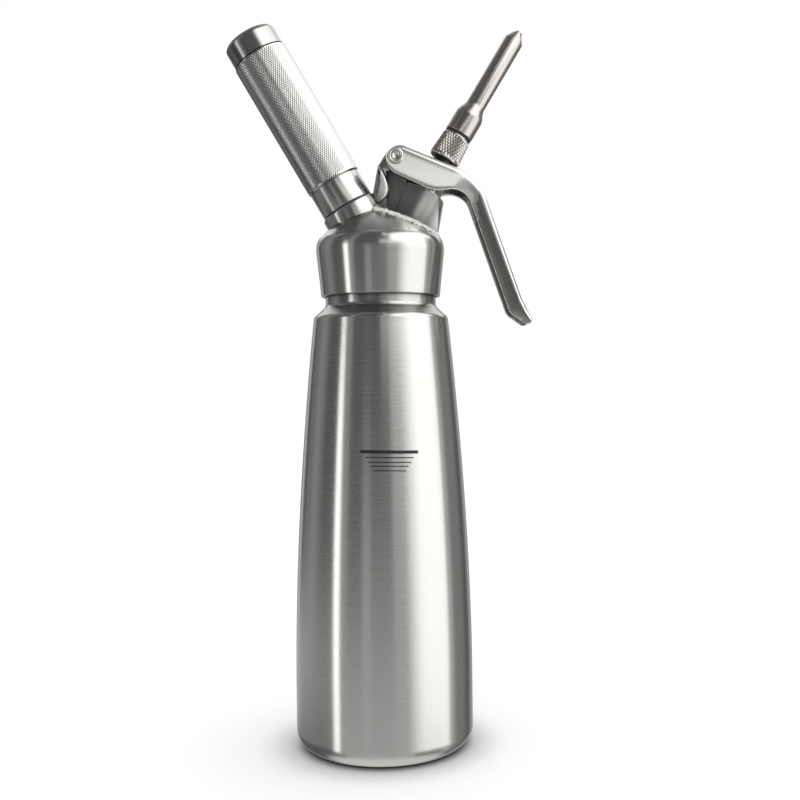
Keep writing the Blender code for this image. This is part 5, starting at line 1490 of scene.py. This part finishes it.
# Each panel: azimuths where it starts, is full, starts to fade and ends, the same for elevation, strength
ALL_ROUND = (-182, -181, 181, 182)
ALL_HEIGHTS = (-92, -91, 91, 92)
LOW_FRONT = (-92, -91, -4, 10)
LEFT_SIDE = (-26, -21, 91, 92)
PANELS = (
    ((20, 62, 95, 99), (-34, -28, 60, 72), 1.55),
    ((40, 62, 128, 142), (24, 32, 60, 72), 1.55),
    ((15, 21, 40, 50), (-34, -28, 44, 56), 0.42),
    ((16, 34, 95, 99), (16, 22, 50, 60), 2.00),
    ((-63, -60, -54, -51), (-36, -30, 12, 22), 2.00),
    ((-53, -50, -43, -38), LEFT_SIDE, 0.30),
    ((-27, -16, 20, 34), LOW_FRONT, 0.22),
    ((-25, -19, -12, -6), LOW_FRONT, 0.46),
    ((-134, -120, -88, -84), LEFT_SIDE, 0.20),
    ((-114, -108, -96, -90), LEFT_SIDE, 0.28),
    ((-152, -146, -140, -134), LEFT_SIDE, 0.55),
    ((96, 98, 104, 112), ALL_HEIGHTS, 0.50),
    ((100, 104, 125, 150), ALL_HEIGHTS, 0.24),
    ((140, 158, 181, 182), ALL_HEIGHTS, 0.40),
    ((-182, -181, -158, -148), ALL_HEIGHTS, 0.45),
    ((-182, -181, -140, -125), (14, 24, 50, 62), 1.00),
    ((125, 140, 181, 182), (14, 24, 50, 62), 1.00),
    (ALL_ROUND, (56, 76, 91, 92), 0.19),
    ((-66, -44, 40, 60), (-92, -91, -17, -6), 0.50),
    ((-170, -150, -58, -40), (-26, -21, -17, -6), 0.50),
    (ALL_ROUND, (-92, -91, -60, -48), 0.80),
)
# White cards close in front: how far off, then the faded edges of each across and up, and its strength
CARD_DISTANCE = 0.35
CARDS = (
    ((0.02, 0.045, 0.20, 0.24), (0.285, 0.305, 0.352, 0.372), 1.12),
    ((0.065, 0.09, 0.105, 0.13), (0.50, 0.56, 0.85, 1.05), 1.20),
)


def reflected_only(obj):
    """A light that shows in reflections and lights nothing else."""
    obj.rotation_euler = (0, 0, -CAMERA_TURN)
    obj.visible_camera = False
    obj.visible_diffuse = False
    obj.visible_transmission = False
    obj.visible_volume_scatter = False
    obj.visible_shadow = False


def build_tent():
    """A sphere round the object whose light is a plain grey with brighter panels by direction."""
    bm = bmesh.new()
    bmesh.ops.create_uvsphere(bm, u_segments=64, v_segments=32, radius=TENT_RADIUS)
    tent = object_from("studio_tent", bm)
    tent.location = (0, 0, TENT_HEIGHT)
    nodes = Nodes("studio_tent")
    place = nodes.axes()
    back = nodes.calculate("MULTIPLY", place["Y"], -1.0)
    azimuth = nodes.calculate("DEGREES", nodes.calculate("ARCTAN2", place["X"], back))
    height = nodes.calculate("DIVIDE", place["Z"], TENT_RADIUS)
    elevation = nodes.calculate("DEGREES", nodes.calculate("ARCSINE", height))
    light = TENT_DARK
    for azimuths, elevations, strength in PANELS:
        around, above = nodes.window(azimuth, azimuths), nodes.window(elevation, elevations)
        panel = nodes.calculate("MULTIPLY", nodes.calculate("MULTIPLY", around, above), strength)
        light = nodes.calculate("MAXIMUM", light, panel)
    nodes.glow(light)
    tent.data.materials.append(nodes.material)
    reflected_only(tent)


def build_card(number, across, up, strength):
    """A small white card near the object, so that only what stands high enough reflects it."""
    bm = bmesh.new()
    left, right, low, high = across[0], across[3], up[0], up[3]
    corners = ((left, low), (right, low), (right, high), (left, high))
    bm.faces.new([bm.verts.new((x, 0, z)) for x, z in corners])
    card = object_from(f"studio_card_{number}", bm)
    card.location = Matrix.Rotation(-CAMERA_TURN, 4, "Z") @ Vector((0, -CARD_DISTANCE, 0))
    nodes = Nodes(f"studio_card_{number}")
    place = nodes.axes()
    mask = nodes.calculate("MULTIPLY", nodes.window(place["X"], across), nodes.window(place["Z"], up))
    light = nodes.glow(strength)
    clear = nodes.add("ShaderNodeBsdfTransparent")
    mix = nodes.add("ShaderNodeMixShader")
    nodes.link(mask, mix.inputs["Fac"])
    nodes.link(clear.outputs["BSDF"], mix.inputs[1])
    nodes.link(light, mix.inputs[2])
    nodes.link(mix.outputs["Shader"], nodes.tree.nodes["Material Output"].inputs["Surface"])
    card.data.materials.append(nodes.material)
    reflected_only(card)


def build_floor():
    bm = bmesh.new()
    bmesh.ops.create_grid(bm, x_segments=1, y_segments=1, size=FLOOR_HALF_SIZE)
    floor = object_from("studio_floor", bm)
    nodes = Nodes("studio_floor")
    # Paints a contact shadow into the floor's colour, darkest where the object is near.
    depth = nodes.ranged(nodes.openness(PAINTED_SHADOW_REACH), 0, 1, PAINTED_SHADOW_DARK, PAINTED_SHADOW_CLEAR)
    nodes.tinted(depth, (0, 0, 0), FLOOR_COLOUR)
    nodes.shader.inputs["Roughness"].default_value = 1.0
    nodes.shader.inputs["Specular IOR Level"].default_value = 0.0
    floor.data.materials.append(nodes.material)
    floor.visible_glossy = False


def build_world():
    world = bpy.data.worlds.new("studio")
    world.use_nodes = True
    tree = world.node_tree
    background = tree.nodes["Background"]
    background.inputs["Color"].default_value = (1, 1, 1, 1)
    path = tree.nodes.new("ShaderNodeLightPath")
    seen = path.outputs["Is Camera Ray"]
    for name in ("Is Glossy Ray", "Is Transmission Ray"):
        either = tree.nodes.new("ShaderNodeMath")
        either.operation = "MAXIMUM"
        tree.links.new(seen, either.inputs[0])
        tree.links.new(path.outputs[name], either.inputs[1])
        seen = either.outputs["Value"]
    strength = tree.nodes.new("ShaderNodeMapRange")
    strength.inputs["To Min"].default_value = WORLD_LIGHT
    strength.inputs["To Max"].default_value = 1.0
    tree.links.new(seen, strength.inputs["Value"])
    tree.links.new(strength.outputs["Result"], background.inputs["Strength"])
    world.cycles.sampling_method = "NONE"
    bpy.context.scene.world = world


def build_camera():
    """The photo's camera, set against the object, which itself stands straight."""
    data = bpy.data.cameras.new("photo_camera")
    data.sensor_fit = "HORIZONTAL"
    data.sensor_width = SENSOR_WIDTH
    data.lens = LENS
    data.shift_x = SHIFT_X
    data.shift_y = SHIFT_Y
    camera = bpy.data.objects.new("photo_camera", data)
    bpy.context.scene.collection.objects.link(camera)
    lean = Matrix.Rotation(CAMERA_ROLL, 4, "Y") @ Matrix.Rotation(CAMERA_TURN, 4, "Z")
    place = Matrix.Translation((EYE_SIDE, -EYE_DISTANCE, EYE_HEIGHT))
    aim = Matrix.Rotation(AIM_PAN, 4, "Z") @ Matrix.Rotation(AIM_TILT, 4, "X")
    aim = aim @ Matrix.Rotation(AIM_ROLL, 4, "Y") @ Matrix.Rotation(math.pi / 2, 4, "X")
    camera.matrix_world = lean.inverted() @ place @ aim
    bpy.context.scene.camera = camera


materials = build_materials()
build_camera()
build_world()
build_floor()
build_tent()
for number, card in enumerate(CARDS):
    build_card(number, *card)
dress_cad_nodes(materials)
build_pieces(materials)
bpy.context.scene.view_settings.view_transform = "Standard"
